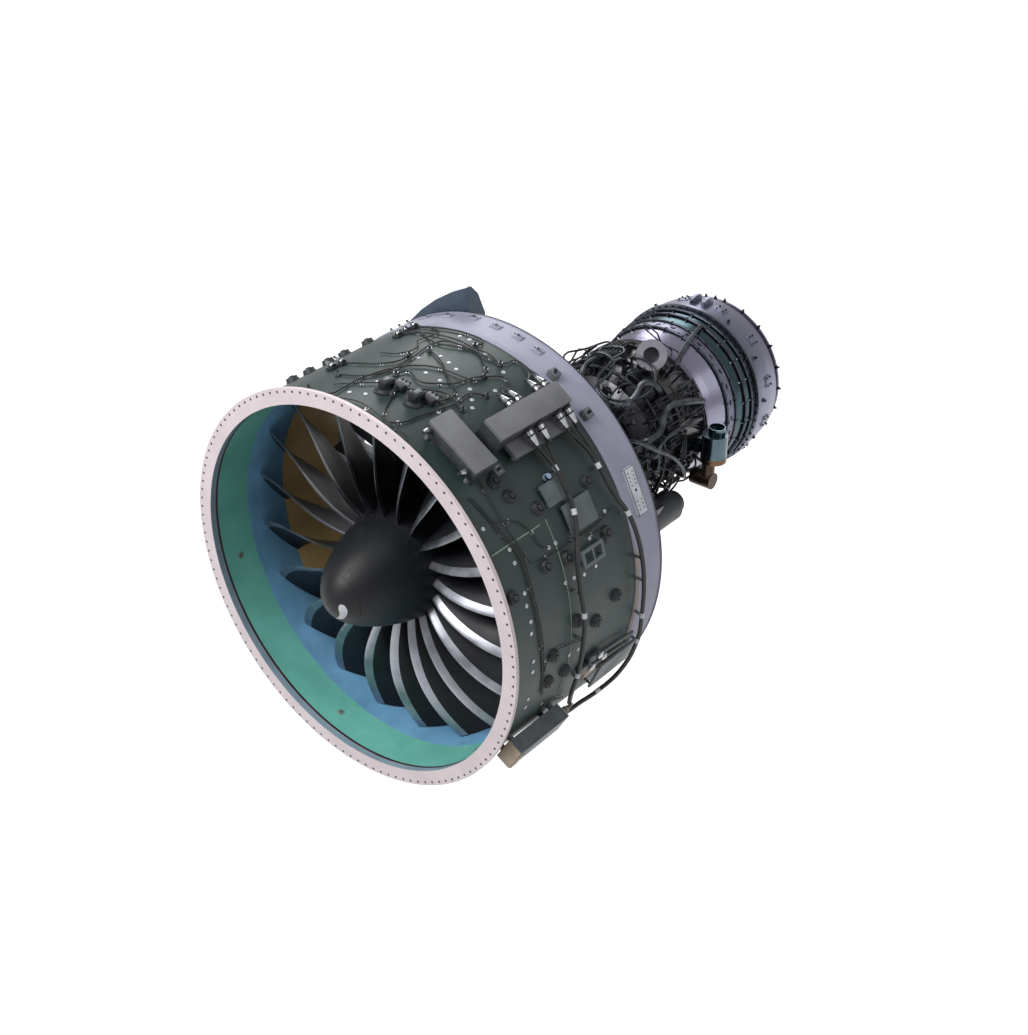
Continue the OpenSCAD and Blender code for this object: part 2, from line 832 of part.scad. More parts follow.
// Ring tube on the nozzles, and the small tubes that lie on the core
module fuel_ring() {
    color("#8c8e90") along(nozzle_y) rotate_extrude($fn = 96)
        translate([nozzle_top + fit + fuel_tube_r, 0]) circle(r = fuel_tube_r, $fn = 24);
    color("#54575b") for (g = tube_groups, i = [0:g[1] - 1])
        core_tube(g[3], g[0] + g[2] * i, g[4] - nest_y * i, g[5] + nest_turn * i, g[6]);
}

module high_turbine_case() {
    color("#6b6a70") {
        turn([
            [358, dif_end],
            [430, dif_end],
            [430, dif_end + 14],
            [395, dif_end + 14],
            [408, hpt_end - 20],
            [440, hpt_end - 14],
            [440, hpt_end],
            [376, hpt_end],
            [372, 2476],
            [360, 2470]
        ]);
        turn([[258, dif_end], [275, dif_end], [275, 2472], [258, 2472]]);
        plates(24, 268, 366, 2446, 38, 50, 6);
        plates(24, 284, 382, 2556, 36, 50, 6);
    }
}

lpt_shape = [[2660, 424], [2690, 438], [2730, 452], [2810, 480], [2910, 502], [3030, 516], [3090, 520]];
function lpt_out(y) = lookup(y, lpt_shape);
function lpt_in(y) = lpt_out(y) - 16;

module low_turbine_case() {
    color("#5c6468") {
        turn(concat(
            [[440, hpt_end], [440, hpt_end + 14], [434, hpt_end + 22]],
            [for (k = [2:6]) [lpt_shape[k][1], lpt_shape[k][0]]],
            [[546, lpt_end - 14], [546, lpt_end], [504, lpt_end]],
            [for (k = [6:-1:2]) [lpt_shape[k][1] - 16, lpt_shape[k][0]]],
            [[402, hpt_end]]));
        for (k = [0:2]) let (y = 2700 + 120 * k)
            plates(30, 338, lpt_in(y) + 7, y, 44, 40, 5);
    }
}

clear_y = [2822, 2893, 2985, 3050];

module clearance_rings() {
    color("#565e62") for (y = clear_y) along(y) rotate_extrude($fn = 96)
        translate([lpt_out(y) + (clear_tube_r + fit) * 1.07, 0]) circle(r = clear_tube_r, $fn = 24);
}

module exhaust_strut() {
    half = [4, 11, 13, 11, 3];
    at_y = [3150, 3180, 3230, 3280, 3330];
    translate([0, 0, 240]) linear_extrude(509 - 240) polygon(concat(
        [for (k = [0:4]) [-half[k], at_y[k]]], [for (k = [4:-1:0]) [half[k], at_y[k]]]));
}

// Inner face of the exhaust case from its front flange to the rear of the struts
exhaust_in = [[508, lpt_end], [506, 3250], [492, 3330]];

// Rear flange: width to the bore, step to the neck ahead of it, thickness
rim_w = 40;
rim_step = 22;
rim_t = 16;

module exhaust_case() {
    color("#8f8d99") difference() {
        turn(concat(
            [
                [546, lpt_end],
                [546, lpt_end + 14],
                for (s = exhaust_shape) [s[1], s[0]],
                [exhaust_r - rim_step, 3394],
                [exhaust_r - rim_step, exh_end - rim_t],
                [exhaust_r, exh_end - rim_t],
                [exhaust_r, exh_end],
                [exhaust_r - rim_w, exh_end],
                [exhaust_r - rim_w + 2, 3380]
            ],
            [for (k = [2:-1:0]) exhaust_in[k]]));
        for (i = [0:exhaust_n - 1]) at_clock(360 * i / exhaust_n)
            axial(exhaust_hole_r, exh_end - 20, exh_end + 4, exhaust_r - 10);
    }
}

exhaust_hub_r = 262;
hub_taper = 22 / 80;

module exhaust_struts() {
    color("#85838f") {
        turn([
            [exhaust_hub_r - 14, lpt_end + 2],
            [exhaust_hub_r, lpt_end + 2],
            [exhaust_hub_r, 3300],
            [exhaust_hub_r - 80 * hub_taper, 3380],
            [exhaust_hub_r - 80 * hub_taper - 12, 3380],
            [exhaust_hub_r - 14, 3300]
        ]);
        turn([
            [low_housing_r, 3176],
            [exhaust_hub_r - 8, 3176],
            [exhaust_hub_r - 8, 3215],
            [low_housing_r, 3215]
        ]);
        // Struts between the hub and the outer case
        intersection() {
            union() for (i = [0:strut_n - 1]) at_clock(360 * (i + 0.5) / strut_n) exhaust_strut();
            turn(concat(
                [for (q = exhaust_in) q - [fit, 0]],
                [
                    [exhaust_hub_r - 30 * hub_taper + fit, 3330],
                    [exhaust_hub_r + fit, 3300],
                    [exhaust_hub_r + fit, lpt_end]
                ]));
        }
    }
}

// Outer radius of the exhaust case between its front flange and the rear of the lugs
exhaust_shape = [[lpt_end + 20, 538], [3250, 534], [3350, 520]];
function exhaust_out(y) = lookup(y, exhaust_shape);

module rear_lugs() {
    color("#8f8d99") difference() {
        for (x = [-42, 42]) translate([x, 0, 0])
            strip([[3160, 520], [3280, 516], [3270, 566], [3240, 578], [3200, 578], [3170, 566]], 22);
        // Seat on the round case
        turn([[400, 3140], for (y = [3140, 3250, 3300]) [exhaust_out(y) + fit, y], [400, 3300]]);
        translate([-70, 3220, 556]) rotate([0, 90, 0]) cylinder(r = lug_bore_r, h = 140, $fn = 48);
    }
}

module rear_bearing_cover() {
    color("#77757f") turn([
        [94, 3215],
        [112, 3215],
        [112, 3290],
        [64, 3340],
        [0, 3346],
        [0, 3336],
        [60, 3330],
        [94, 3286]
    ]);
}

// Spools

module low_shaft() {
    color("#85878c") turn([[low_r - 14, 662], [low_r, 662], [low_r, 3236], [low_r - 14, 3236]]);
}

module low_compressor_rotor() {
    color("#7a7c80") {
        // Drum with a conical arm to the shaft
        turn([
            [lpc_hub(lpc_y + 20), lpc_y + 20],
            [lpc_hub(lpc_y + 290), lpc_y + 290],
            [lpc_hub(lpc_y + 290) - 14, lpc_y + 290],
            [lpc_hub(lpc_y + 20) - 12, lpc_y + 20]
        ]);
        turn([
            [low_r + fit, lpc_y + 180],
            [90, lpc_y + 180],
            [338, lpc_y + 262],
            [336, lpc_y + 280],
            [80, lpc_y + 216],
            [low_r + fit, lpc_y + 216]
        ]);
        for (k = [0:2]) let (y = lpc_y + 50 + 105 * k)
            plates(32, lpc_hub(y) - 7, lpc_in(y) - 8, y, 50, 40, 4);
    }
}

module low_turbine_rotor() {
    color("#6f6d70") {
        turn([[312, 2738], [330, 2738], [330, 3022], [312, 3022]]);
        turn([[low_r + fit, 2866], [318, 2872], [318, 2888], [low_r + fit, 2894]]);
        turn([[low_r + fit, 2840], [low_r + 30, 2840], [low_r + 30, 2920], [low_r + fit, 2920]]);
        for (k = [0:2]) let (y = 2760 + 120 * k)
            plates(36, 322, lpt_in(y - 22) - 7, y, 42, -40, 5);
    }
}

module high_shaft() {
    color("#85878c") turn([[high_r - 14, 1386], [high_r, 1386], [high_r, 2650], [high_r - 14, 2650]]);
}

module high_compressor_rotor() {
    color("#7a7c80") {
        turn([
            [high_r + fit, hpc_y + 30],
            [192, hpc_y + 30],
            [228, hpc_y + 595],
            [high_r + fit, hpc_y + 595],
            [high_r + fit, hpc_y + 583],
            [213, hpc_y + 583],
            [179, hpc_y + 42],
            [high_r + fit, hpc_y + 42]
        ]);
        for (k = [0:7]) let (y = hpc_y + 45 + 72 * k)
            plates(24, hpc_hub(y) - 7, hpc_in(y) - 8, y, 30, 40, 3);
    }
}

module turbine_disc(y) {
    turn([
        [high_r + fit, y - 22],
        [120, y - 22],
        [130, y - 9],
        [250, y - 9],
        [256, y - 19],
        [270, y - 19],
        [270, y + 19],
        [256, y + 19],
        [250, y + 9],
        [130, y + 9],
        [120, y + 22],
        [high_r + fit, y + 22]
    ]);
}

module high_turbine_rotor() {
    color("#6f6d70") {
        turbine_disc(2507);
        turbine_disc(2602);
        turn([[258, 2522], [266, 2522], [266, 2588], [258, 2588]]);
        plates(40, 262, 364, 2507, 32, -45, 5);
        plates(40, 262, 364, 2602, 32, -45, 5);
    }
}

// Accessories

box_y0 = 1900;
box_y1 = hpc_end - 15 - fit;
unit_r = diffuser_r + 70;

module accessory_gearbox() {
    color("#54565a") {
        at_clock(180) turn_part([[400, box_y0], [gearbox_r, box_y0], [gearbox_r, box_y1], [400, box_y1]], 140);
        // Arms that bolt to the compressor case rear flange
        for (a = [150, 210]) at_clock(a) strip([[box_y1 - 26, 306], [box_y1, 306], [box_y1, 412],
            [box_y1 - 60, 412]], 60);
    }
}

module generator() {
    c = unit_r + generator_r;
    color("#4b4d52") at_clock(132) {
        axial(generator_r, box_y1, 2320, c);
        axial(generator_r - 26, 2310, 2380, c);
    }
}

module starter() {
    c = unit_r + starter_r + 6;
    color("#57595e") at_clock(186) {
        axial(starter_r, box_y1, 2240, c);
        axial(starter_r - 20, 2230, 2300, c);
    }
}

module fuel_pump() {
    color("#5b5d60") at_clock(140) {
        axial(80, 1690, box_y0, 500);
        axial(52, 1640, 1700, 500);
    }
}

module hydraulic_pump() {
    color("#505257") at_clock(205) {
        axial(62, 1720, box_y0, 500);
        axial(40, 1670, 1730, 500);
    }
}

tank_x = 600;
tank_y = 2500;
tank_z = -85;
filler_r = 50;
filler_h = 40;
filler_edge = 6;

module oil_tank() {
    color("#5f6e74") {
        translate([tank_x, tank_y, tank_z]) cylinder(r = tank_r, h = tank_h, $fn = 64);
        // Open filler neck at the rear of the top
        translate([tank_x, tank_y + tank_r - filler_r - filler_edge, tank_z + tank_h - 4]) difference() {
            cylinder(r = filler_r, h = filler_h, $fn = 64);
            translate([0, 0, 12]) cylinder(r = filler_r - 6, h = filler_h, $fn = 64);
        }
        // Bracket to the turbine case flange
        translate([414, dif_end + 14 + fit, -30]) cube([tank_x - tank_r - 400, 60, 60]);
    }
}

filter_r = 52;
filter_len = 140;
filter_neck_r = 40;
filter_z = tank_z - 90 - filter_r;

module oil_filter() {
    color("#4a4542") {
        translate([tank_x - 130, tank_y, filter_z]) rotate([0, 90, 0])
            cylinder(r = filter_r, h = filter_len, $fn = 64);
        translate([tank_x - 30, tank_y, filter_z])
            cylinder(r = filter_neck_r, h = tank_z - fit - filter_z, $fn = 64);
    }
}

duct_dir = unit([0.5, -0.68, 0.53]);
duct_knee = [130, 2476, 463];
duct_clock = atan2(duct_knee[0], duct_knee[2]);
duct_knee_r = norm([duct_knee[0], duct_knee[2]]);
duct_out = 112;

// Cylinder from the knee along the direction of the duct mouth
module mouth(r, d0, d1) {
    translate(duct_knee + duct_dir * d0)
        rotate([0, acos(duct_dir[2]), atan2(duct_dir[1], duct_dir[0])]) cylinder(r = r, h = d1 - d0, $fn = 64);
}

module bleed_duct() {
    color("#77797f") difference() {
        union() {
            at_clock(duct_clock) post(duct_bore_r + 8, duct_knee[1], 380, duct_knee_r);
            translate(duct_knee) sphere(r = duct_bore_r + 12, $fn = 48);
            mouth(duct_bore_r + 8, 0, duct_out - 4);
            mouth(duct_flange_r, duct_out - 14, duct_out);
        }
        mouth(duct_bore_r, 0, duct_out + 20);
        // Seat on the turbine case
        turn([[300, dif_end - 20], [430 + fit, dif_end - 20], [430 + fit, dif_end + 14 + fit],
            [395 + fit, dif_end + 14 + fit], [408 + fit, hpt_end - 20], [300, hpt_end - 20]]);
    }
}

function hpc_out(y) = y < 1755 ? 308 - 14 * (y - hpc_y - 20) / 295 : 293 - 13 * (y - 1755) / 285;
function hpt_out(y) = 395 + 13 * (y - dif_end - 14) / 206;

module air_pipes() {
    color("#6c7076") {
        pipe([[1980, 38, hpc_out(1960) + 1], [1980, 38, 440], [1985, 38, 505], [2090, 36, 508], [2180, 31, 510],
            [2262, 33, 510], [2290, 41, 505], [2300, 43, 460], [2300, 43, diffuser_r + 0.6]], air_pipe_r);
        pipe([[2600, 63, hpt_out(2600) + 2.2], [2600, 63, 450], [2595, 63, 510], [2470, 58, 512],
            [2390, 56, 512], [2300, 53, 512], [2210, 55, 512], [2160, 61, 512], [2120, 65, 512],
            [2010, 66, 500], [2000, 66, 430], [2000, 66, hpc_out(1975) + 1]], air_pipe_r);
        pipe([[1950, 2, hpc_out(1930) + 1], [1950, 2, 440], [1955, 1, 500], [2060, -6, 508], [2190, -8, 508],
            [2290, -6, 505], [2350, 2, 500], [2360, 4, 450], [2360, 4, diffuser_r + 0.6]],
            air_pipe_r - 4);
    }
}

module oil_pipes() {
    color("#54575b") {
        pipe([[2560, 74, hpt_out(2560) + 1], [2560, 74, 460], [2550, 74, 495], [2450, 71, 500], [2310, 71, 500],
            [2160, 71, 500], [2080, 74, 500], [2070, 79, 495], [2040, 80, 480], [2030, 80, 420],
            [2030, 80, hpc_out(2010) + 1]], oil_pipe_r);
        pipe([[2540, 32, hpt_out(2540) + 1], [2540, 32, 480], [2550, 31, 532], [2680, 25, 536], [2800, 22, 536],
            [2900, 19.5, 540], [2960, 18.5, 550], [2960, 18.5, 525], [2960, 18.5, lpt_out(2972) + 0.8]],
            oil_pipe_r);
        pipe([[1840, 58, hpc_out(1825) + 1], [1840, 58, 480], [1850, 60, 548], [1990, 72, 552],
            [2140, 82, 552], [2250, 95, 550], [2320, 106, 545], [2340, 109, 480],
            [2340, 109, diffuser_r + 0.6]], oil_pipe_r);
    }
}

// Equipment on the fan case

// Where the posts under the equipment begin, inside the barrel's wall
post_r0 = case_rear_r - 50;
box1_gap = 12;
box2_gap = 38;
base_gap = 16;
base_t = 24;

module post_at(x, y, r, z0, z1) {
    translate([x, y, z0]) cylinder(r = r, h = z1 - z0, $fn = 32);
}

module control_boxes() {
    color("#74736f") at_clock(31.9) on_case() {
        translate([-box1_w / 2, 136, case_rear_r + box1_gap]) cube([box1_w, box1_len, box1_h]);
        for (x = [-1, 1], y = [156, 116 + box1_len])
            post_at(x * (box1_w / 2 - 26), y, 14, post_r0, case_rear_r + box1_gap + 8);
    }
    color("#6c6b67") at_clock(33.85) on_case() {
        translate([-box2_w / 2, 352, case_rear_r + box2_gap]) cube([box2_w, box2_len, box2_h]);
        // Base plate that reaches down the side
        translate([-box2_w / 2, 440, case_rear_r + base_gap]) cube([box2_w + 84, 448, base_t]);
        for (x = [-44, 118], y = [470, 860]) post_at(x, y, 14, post_r0, case_rear_r + base_gap + 4);
    }
}

bumper_spots = [
    [288, 42.8], [322, 47.9], [438, 54.1], [802, 55], [800, 69.3], [345, 67.8], [494, 69.1], [86, 70],
    [810, 87.9], [494, 87.3], [648, 91.6], [314, 93.1], [431, 101.9], [299, 101.5], [300, -34], [420, -34],
    [560, -34], [680, -34], [860, -34], [300, -62], [560, -62], [860, -62], [430, -90], [700, -90]
];

module bumpers() {
    color("#24262a") on_case() for (s = bumper_spots) at_clock(s[1]) {
        post(bumper_r, s[0], post_r0, case_r(s[0]) + bumper_h);
        post(bumper_r * 0.5, s[0], post_r0 + 10, case_r(s[0]) + bumper_h + 7);
    }
}

// Plate on legs, flat side outwards, at a height over the barrel's rear end
module leg_plate(a, y0, y1, w, gap, t) {
    r0 = case_rear_r + gap;
    at_clock(a) {
        translate([-w / 2, y0, r0]) cube([w, y1 - y0, t]);
        for (x = [-1, 1], y = [y0 + 14, y1 - 14]) post_at(x * (w / 2 - 14), y, 7, post_r0, r0 + 2);
    }
}

module case_plates() {
    color("#5d6468") on_case() {
        leg_plate(52.6, 486, 618, 112, 8, 8);
        leg_plate(60.6, 556, 762, 150, 8, 10);
        // Frame with two windows
        difference() {
            leg_plate(71.9, 570, 740, 92, 10, 10);
            at_clock(71.9) for (y = [590, 662]) translate([-28, y, case_rear_r]) cube([56, 58, 40]);
        }
        // Lower bracket
        leg_plate(113.5, 730, 1060, 190, 26, 14);
        // Patch panel on the rear ring
        at_clock(64) translate([-126, 1046, flange_r - 22]) cube([252, 74, 30]);
    }
}

// Wedge bracket on the rear edge of the ring, highest at its right-hand corner
bracket_y = ring_end + fit;
bracket_t = 16;
bracket_a = -8.5;
bracket_x = (flange_r + bracket_h) * sin(bracket_a);
bracket_z = (flange_r + bracket_h) * cos(bracket_a);
bracket_foot = flange_r - 40;
function round_at(a, r) = [r * sin(a), r * cos(a)];

// Wall from the bracket's face backwards, lower towards the rear
module gusset(x, z, h, d) {
    translate([x, 0, 0]) strip([[bracket_y, z - h], [bracket_y, z], [bracket_y + bracket_t, z],
        [bracket_y + d * 0.56, z - h * 0.28], [bracket_y + d, z - h * 0.92], [bracket_y + d, z - h]], 14);
}

module top_bracket() {
    color("#4f5c6c") {
        translate([0, bracket_y + bracket_t, 0]) rotate([90, 0, 0]) linear_extrude(bracket_t) polygon(concat(
            [for (k = [0:3]) round_at(-34 + 6.375 * k, flange_r + 2 + (bracket_h - 2) * k / 4)],
            [[bracket_x, bracket_z], [bracket_x, sqrt(bracket_foot * bracket_foot - bracket_x * bracket_x)]],
            [for (k = [3:-1:0]) round_at(-34 + 6.375 * k, bracket_foot)]));
        gusset(bracket_x - 7, bracket_z, 200, 128);
        gusset(bracket_x * 2.3, bracket_z - 150, 110, 90);
    }
}

module lower_box() {
    color("#6d6a62") at_clock(120) on_case() {
        translate([-75, 90, case_rear_r + 8]) cube([150, 380, 84]);
        for (x = [-50, 50], y = [120, 440]) post_at(x, y, 16, post_r0, case_rear_r + 12);
    }
}

// Radius and clock angle where the harnesses meet the side of the rear box's base plate
plug_r = case_rear_r + base_gap + 22;
plug_a = 33.85 + atan((box2_w / 2 + 86.3) / (case_rear_r + base_gap + base_t / 2));
cable_run_r = case_rear_r + clamp_h + cable_r;
// The rear harness runs higher, to pass over the step of the ring
high_run_r = cable_run_r + ring_step;
cable_front = [
    [612, plug_a, plug_r], [614, 44, cable_run_r - 1], [623, 48, cable_run_r], [616, 53.5, cable_run_r],
    [599, 59.3, cable_run_r],
    [553, 65.6, cable_run_r], [508, 70.6, cable_run_r], [487, 78.2, cable_run_r], [494, 84.8, cable_run_r],
    [489, 92.1, cable_run_r], [487, 103.5, cable_run_r], [500, 111, cable_run_r], [560, 118, cable_run_r]
];
cable_rear = [
    [850, plug_a, plug_r], [852, 44, cable_run_r], [868, 48.5, high_run_r - 2], [873, 52.8, high_run_r],
    [891, 60.9, high_run_r], [939, 67, high_run_r], [964, 73.6, high_run_r],
    [974, 80.1, high_run_r], [979, 86.8, high_run_r], [990, 97.9, high_run_r], [1000, 106.8, high_run_r + 12],
    [960, 118, high_run_r + 24], [860, 124, high_run_r + 20], [740, 126, high_run_r + 8]
];

module harnesses() {
    color("#1d1e21") {
        case_cable(cable_front, cable_r);
        case_cable(cable_rear, cable_r);
    }
}

module harness_clamps() {
    color("#8f9194") on_case() {
        for (k = [2, 5, 7, 9, 10]) at_clock(cable_front[k][1])
            post(9, cable_front[k][0], post_r0, cable_front[k][2] - cable_r - 1.2);
        for (k = [3, 5, 7, 8, 9]) at_clock(cable_rear[k][1])
            post(9, cable_rear[k][0], post_r0, cable_rear[k][2] - cable_r - 1.2);
    }
}

front_attach_ring();
inlet_seal();
fan_case();
inlet_liner();
fan_track_liner();
rear_liner();
rear_ring();
exit_guide_vanes();
spinner();
spinner_cap();
fan_blades();
fan_hub();
fan_shaft();
ring_gear();
star_gear_1();
star_gear_2();
star_gear_3();
star_gear_4();
star_gear_5();
gear_carrier();
sun_gear();
bearings();
core_inlet_body();
low_compressor_case();
intermediate_case();
low_shaft();
low_compressor_rotor();
low_turbine_rotor();
high_shaft();
high_compressor_rotor();
high_turbine_rotor();
high_compressor_case();
diffuser_case();
combustor();
fuel_nozzles();
fuel_ring();
high_turbine_case();
low_turbine_case();
clearance_rings();
exhaust_case();
exhaust_struts();
rear_lugs();
rear_bearing_cover();
accessory_gearbox();
starter();
generator();
fuel_pump();
hydraulic_pump();
oil_tank();
oil_filter();
bleed_duct();
air_pipes();
oil_pipes();
control_boxes();
case_plates();
top_bracket();
lower_box();
harnesses();
harness_clamps();
bumpers();
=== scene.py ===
import math
import random

import bmesh
import bpy
from mathutils import Matrix, Vector


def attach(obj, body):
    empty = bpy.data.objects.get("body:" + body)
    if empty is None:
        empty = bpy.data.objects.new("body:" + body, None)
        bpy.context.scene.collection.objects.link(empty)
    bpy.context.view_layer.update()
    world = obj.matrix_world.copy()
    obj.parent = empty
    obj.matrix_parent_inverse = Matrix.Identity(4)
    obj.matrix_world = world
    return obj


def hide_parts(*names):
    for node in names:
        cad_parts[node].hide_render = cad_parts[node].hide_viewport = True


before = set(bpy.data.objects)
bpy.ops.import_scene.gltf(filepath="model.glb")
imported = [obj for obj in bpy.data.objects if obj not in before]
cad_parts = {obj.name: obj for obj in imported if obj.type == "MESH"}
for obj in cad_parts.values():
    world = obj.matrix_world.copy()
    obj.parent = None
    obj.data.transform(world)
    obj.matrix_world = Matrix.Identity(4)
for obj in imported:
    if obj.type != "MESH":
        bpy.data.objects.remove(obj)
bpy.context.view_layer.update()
still = "engine_frame"
fan = "fan_rotor"
barrelLook = {"front": 0.060, "rear": 0.975, "frontRadius": 1.080, "rise": 0.020, "ringRadius": 1.104,
              "ringRise": 0.005, "chamfer": 0.025}
sink = 0.001  # how far a small piece reaches into what it stands on
print("frame loaded")


# small helpers

def toLinear(code):  # sRGB hex to linear colour
    parts = [int(code[i:i + 2], 16) / 255 for i in (1, 3, 5)]
    return [c / 12.92 if c < 0.04045 else ((c + 0.055) / 1.055) ** 2.4 for c in parts] + [1.0]


def addNode(tree, kind, values=None, links=None, **settings):
    made = tree.nodes.new(kind)
    for key, value in settings.items():
        setattr(made, key, value)
    for key, value in (values or {}).items():
        made.inputs[key].default_value = value
    for key, source in (links or {}).items():
        tree.links.new(source, made.inputs[key])
    return made


def outward(clock):  # unit vector away from the axis, clock in degrees from the top
    return Vector((math.sin(math.radians(clock)), 0, math.cos(math.radians(clock))))


def around(clock):  # unit vector the way the clock angle grows
    return Vector((math.cos(math.radians(clock)), 0, -math.sin(math.radians(clock))))


def atRadius(y, clock, radius):
    return outward(clock) * radius + Vector((0, y, 0))


def caseRadius(y):  # outer radius of the fan case or of the ring behind it
    past = y - barrelLook["rear"]
    if past > 0:
        return barrelLook["ringRadius"] + barrelLook["ringRise"] * min(1, past / barrelLook["chamfer"])
    along = max(0, y - barrelLook["front"]) / (barrelLook["rear"] - barrelLook["front"])
    return barrelLook["frontRadius"] + barrelLook["rise"] * along


def onCase(y, clock, lift=0.0):
    return atRadius(y, clock, caseRadius(y) + lift)


def clockTurn(clock):  # frame with z outwards at this clock angle
    return Matrix.Rotation(math.radians(clock), 4, "Y")


def paint(made, index):  # material index of the faces an operator has just made
    for face in {face for vert in made for face in vert.link_faces}:
        face.material_index = index


def stack(bm, foot, up, steps, sides=16):  # turned steps (low, high, length, material) one on another
    up = Vector(up).normalized()
    turn = Vector((0, 0, 1)).rotation_difference(up).to_matrix().to_4x4()
    reach = 0.0
    for low, high, length, index in steps:
        spot = Matrix.Translation(foot + up * (reach + length / 2)) @ turn
        made = bmesh.ops.create_cone(bm, cap_ends=True, segments=sides, radius1=low, radius2=high,
                                     depth=length, matrix=spot)
        paint(made["verts"], index)
        reach += length


def block(bm, turn, centre, size, edge=0.0, index=0):  # bevelled box in a turned frame
    spot = turn @ Matrix.Translation(centre) @ Matrix.Diagonal((*size, 1))
    made = bmesh.ops.create_cube(bm, size=1, matrix=spot)
    paint(made["verts"], index)
    if edge:
        edges = list(dict.fromkeys(e for v in made["verts"] for e in v.link_edges))  # same order each run
        bmesh.ops.bevel(bm, geom=edges, offset=edge, affect="EDGES", segments=2, profile=0.5, material=-1)


def turned(bm, profile, steps, foot=Vector((0, 0, 0)), up=(0, 1, 0), index=0):
    # full spin of a profile of (radius, height) about an axis
    turn = Vector((0, 0, 1)).rotation_difference(Vector(up)).to_matrix()
    points = [bm.verts.new(foot + turn @ Vector((r, 0, h))) for r, h in profile]
    edges = [bm.edges.new(pair) for pair in zip(points, points[1:])]
    made = bmesh.ops.spin(bm, geom=points + edges, cent=foot, axis=Vector(up), angle=math.tau,
                          steps=steps, use_merge=True)
    ends = [g for g in made["geom_last"] if isinstance(g, bmesh.types.BMVert)]
    paint(ends + [p for p in points if p.is_valid], index)


def sweep(bm, spots, angle, steps, centre=(0, 0, 0)):  # closed outline carried round, along the shaft's axis
    points = [bm.verts.new(spot) for spot in spots]
    edges = [bm.edges.new(pair) for pair in zip(points, points[1:] + points[:1])]
    bmesh.ops.spin(bm, geom=points + edges, cent=centre, axis=(0, 1, 0), angle=math.radians(angle),
                   steps=steps, use_merge=angle == 360)


def closeHoles(bm):
    bmesh.ops.holes_fill(bm, edges=[e for e in bm.edges if e.is_boundary], sides=0)


def scaled(steps, size):  # the steps of a stack, all grown alike
    return [(low * size, high * size, length * size, index) for low, high, length, index in steps]


def finishPiece(name, bm, finishes, body=still, replaced=(), angle=35):
    bmesh.ops.remove_doubles(bm, verts=bm.verts, dist=1e-6)
    bmesh.ops.recalc_face_normals(bm, faces=bm.faces)
    mesh = bpy.data.meshes.new(name)
    bm.to_mesh(mesh)
    bm.free()
    for finish in finishes:
        mesh.materials.append(finish)
    mesh.shade_smooth()
    mesh.set_sharp_from_angle(angle=math.radians(angle))
    piece = bpy.data.objects.new(name, mesh)
    bpy.context.collection.objects.link(piece)
    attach(piece, body)
    if replaced:
        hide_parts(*replaced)
    return piece


def tubes(name, routes, thick, finish, replaced=(), sides=2):  # round tubes through points
    curve = bpy.data.curves.new(name, "CURVE")
    curve.dimensions = "3D"
    curve.bevel_depth = thick
    curve.bevel_resolution = sides
    curve.resolution_u = 5
    curve.use_fill_caps = True
    curve.materials.append(finish)
    for route in routes:
        spline = curve.splines.new("BEZIER")
        spline.bezier_points.add(len(route) - 1)
        for point, spot in zip(spline.bezier_points, route):
            point.co = spot
            point.handle_left_type = "AUTO"
            point.handle_right_type = "AUTO"
    piece = bpy.data.objects.new(name, curve)
    bpy.context.collection.objects.link(piece)
    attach(piece, still)
    if replaced:
        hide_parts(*replaced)
    return piece


# finishes

def newFinish(name):  # new finish with its tree, shader and object coordinates
    made = bpy.data.materials.new(name)
    made.use_nodes = True
    tree = made.node_tree
    return made, tree, tree.nodes["Principled BSDF"], addNode(tree, "ShaderNodeTexCoord").outputs["Object"]


def mottled(name, tones, rough, sizesMm, bump, metal=0.0, shine=0.5):
    # two tones in soft clouds, varied gloss and a grain drawn coarse enough to show
    made, tree, shader, place = newFinish(name)
    cloudMm, grainMm = sizesMm
    cloud = addNode(tree, "ShaderNodeTexNoise", {"Scale": 1000 / cloudMm, "Detail": 5.0}, {"Vector": place})
    share = addNode(tree, "ShaderNodeMapRange", {"From Min": 0.32, "From Max": 0.68},
                    {"Value": cloud.outputs[0]})
    tone = addNode(tree, "ShaderNodeMix", {6: toLinear(tones[0]), 7: toLinear(tones[1])},
                   {0: share.outputs[0]}, data_type="RGBA")
    gloss = addNode(tree, "ShaderNodeMapRange", {"To Min": rough[0], "To Max": rough[1]},
                    {"Value": share.outputs[0]})
    grain = addNode(tree, "ShaderNodeTexNoise", {"Scale": 1000 / grainMm, "Detail": 3.0}, {"Vector": place})
    relief = addNode(tree, "ShaderNodeBump", {"Strength": bump, "Distance": grainMm / 5000},
                     {"Height": grain.outputs[0]})
    tree.links.new(tone.outputs[2], shader.inputs["Base Color"])
    tree.links.new(gloss.outputs[0], shader.inputs["Roughness"])
    tree.links.new(relief.outputs[0], shader.inputs["Normal"])
    shader.inputs["Metallic"].default_value = metal
    shader.inputs["Specular IOR Level"].default_value = shine
    return made


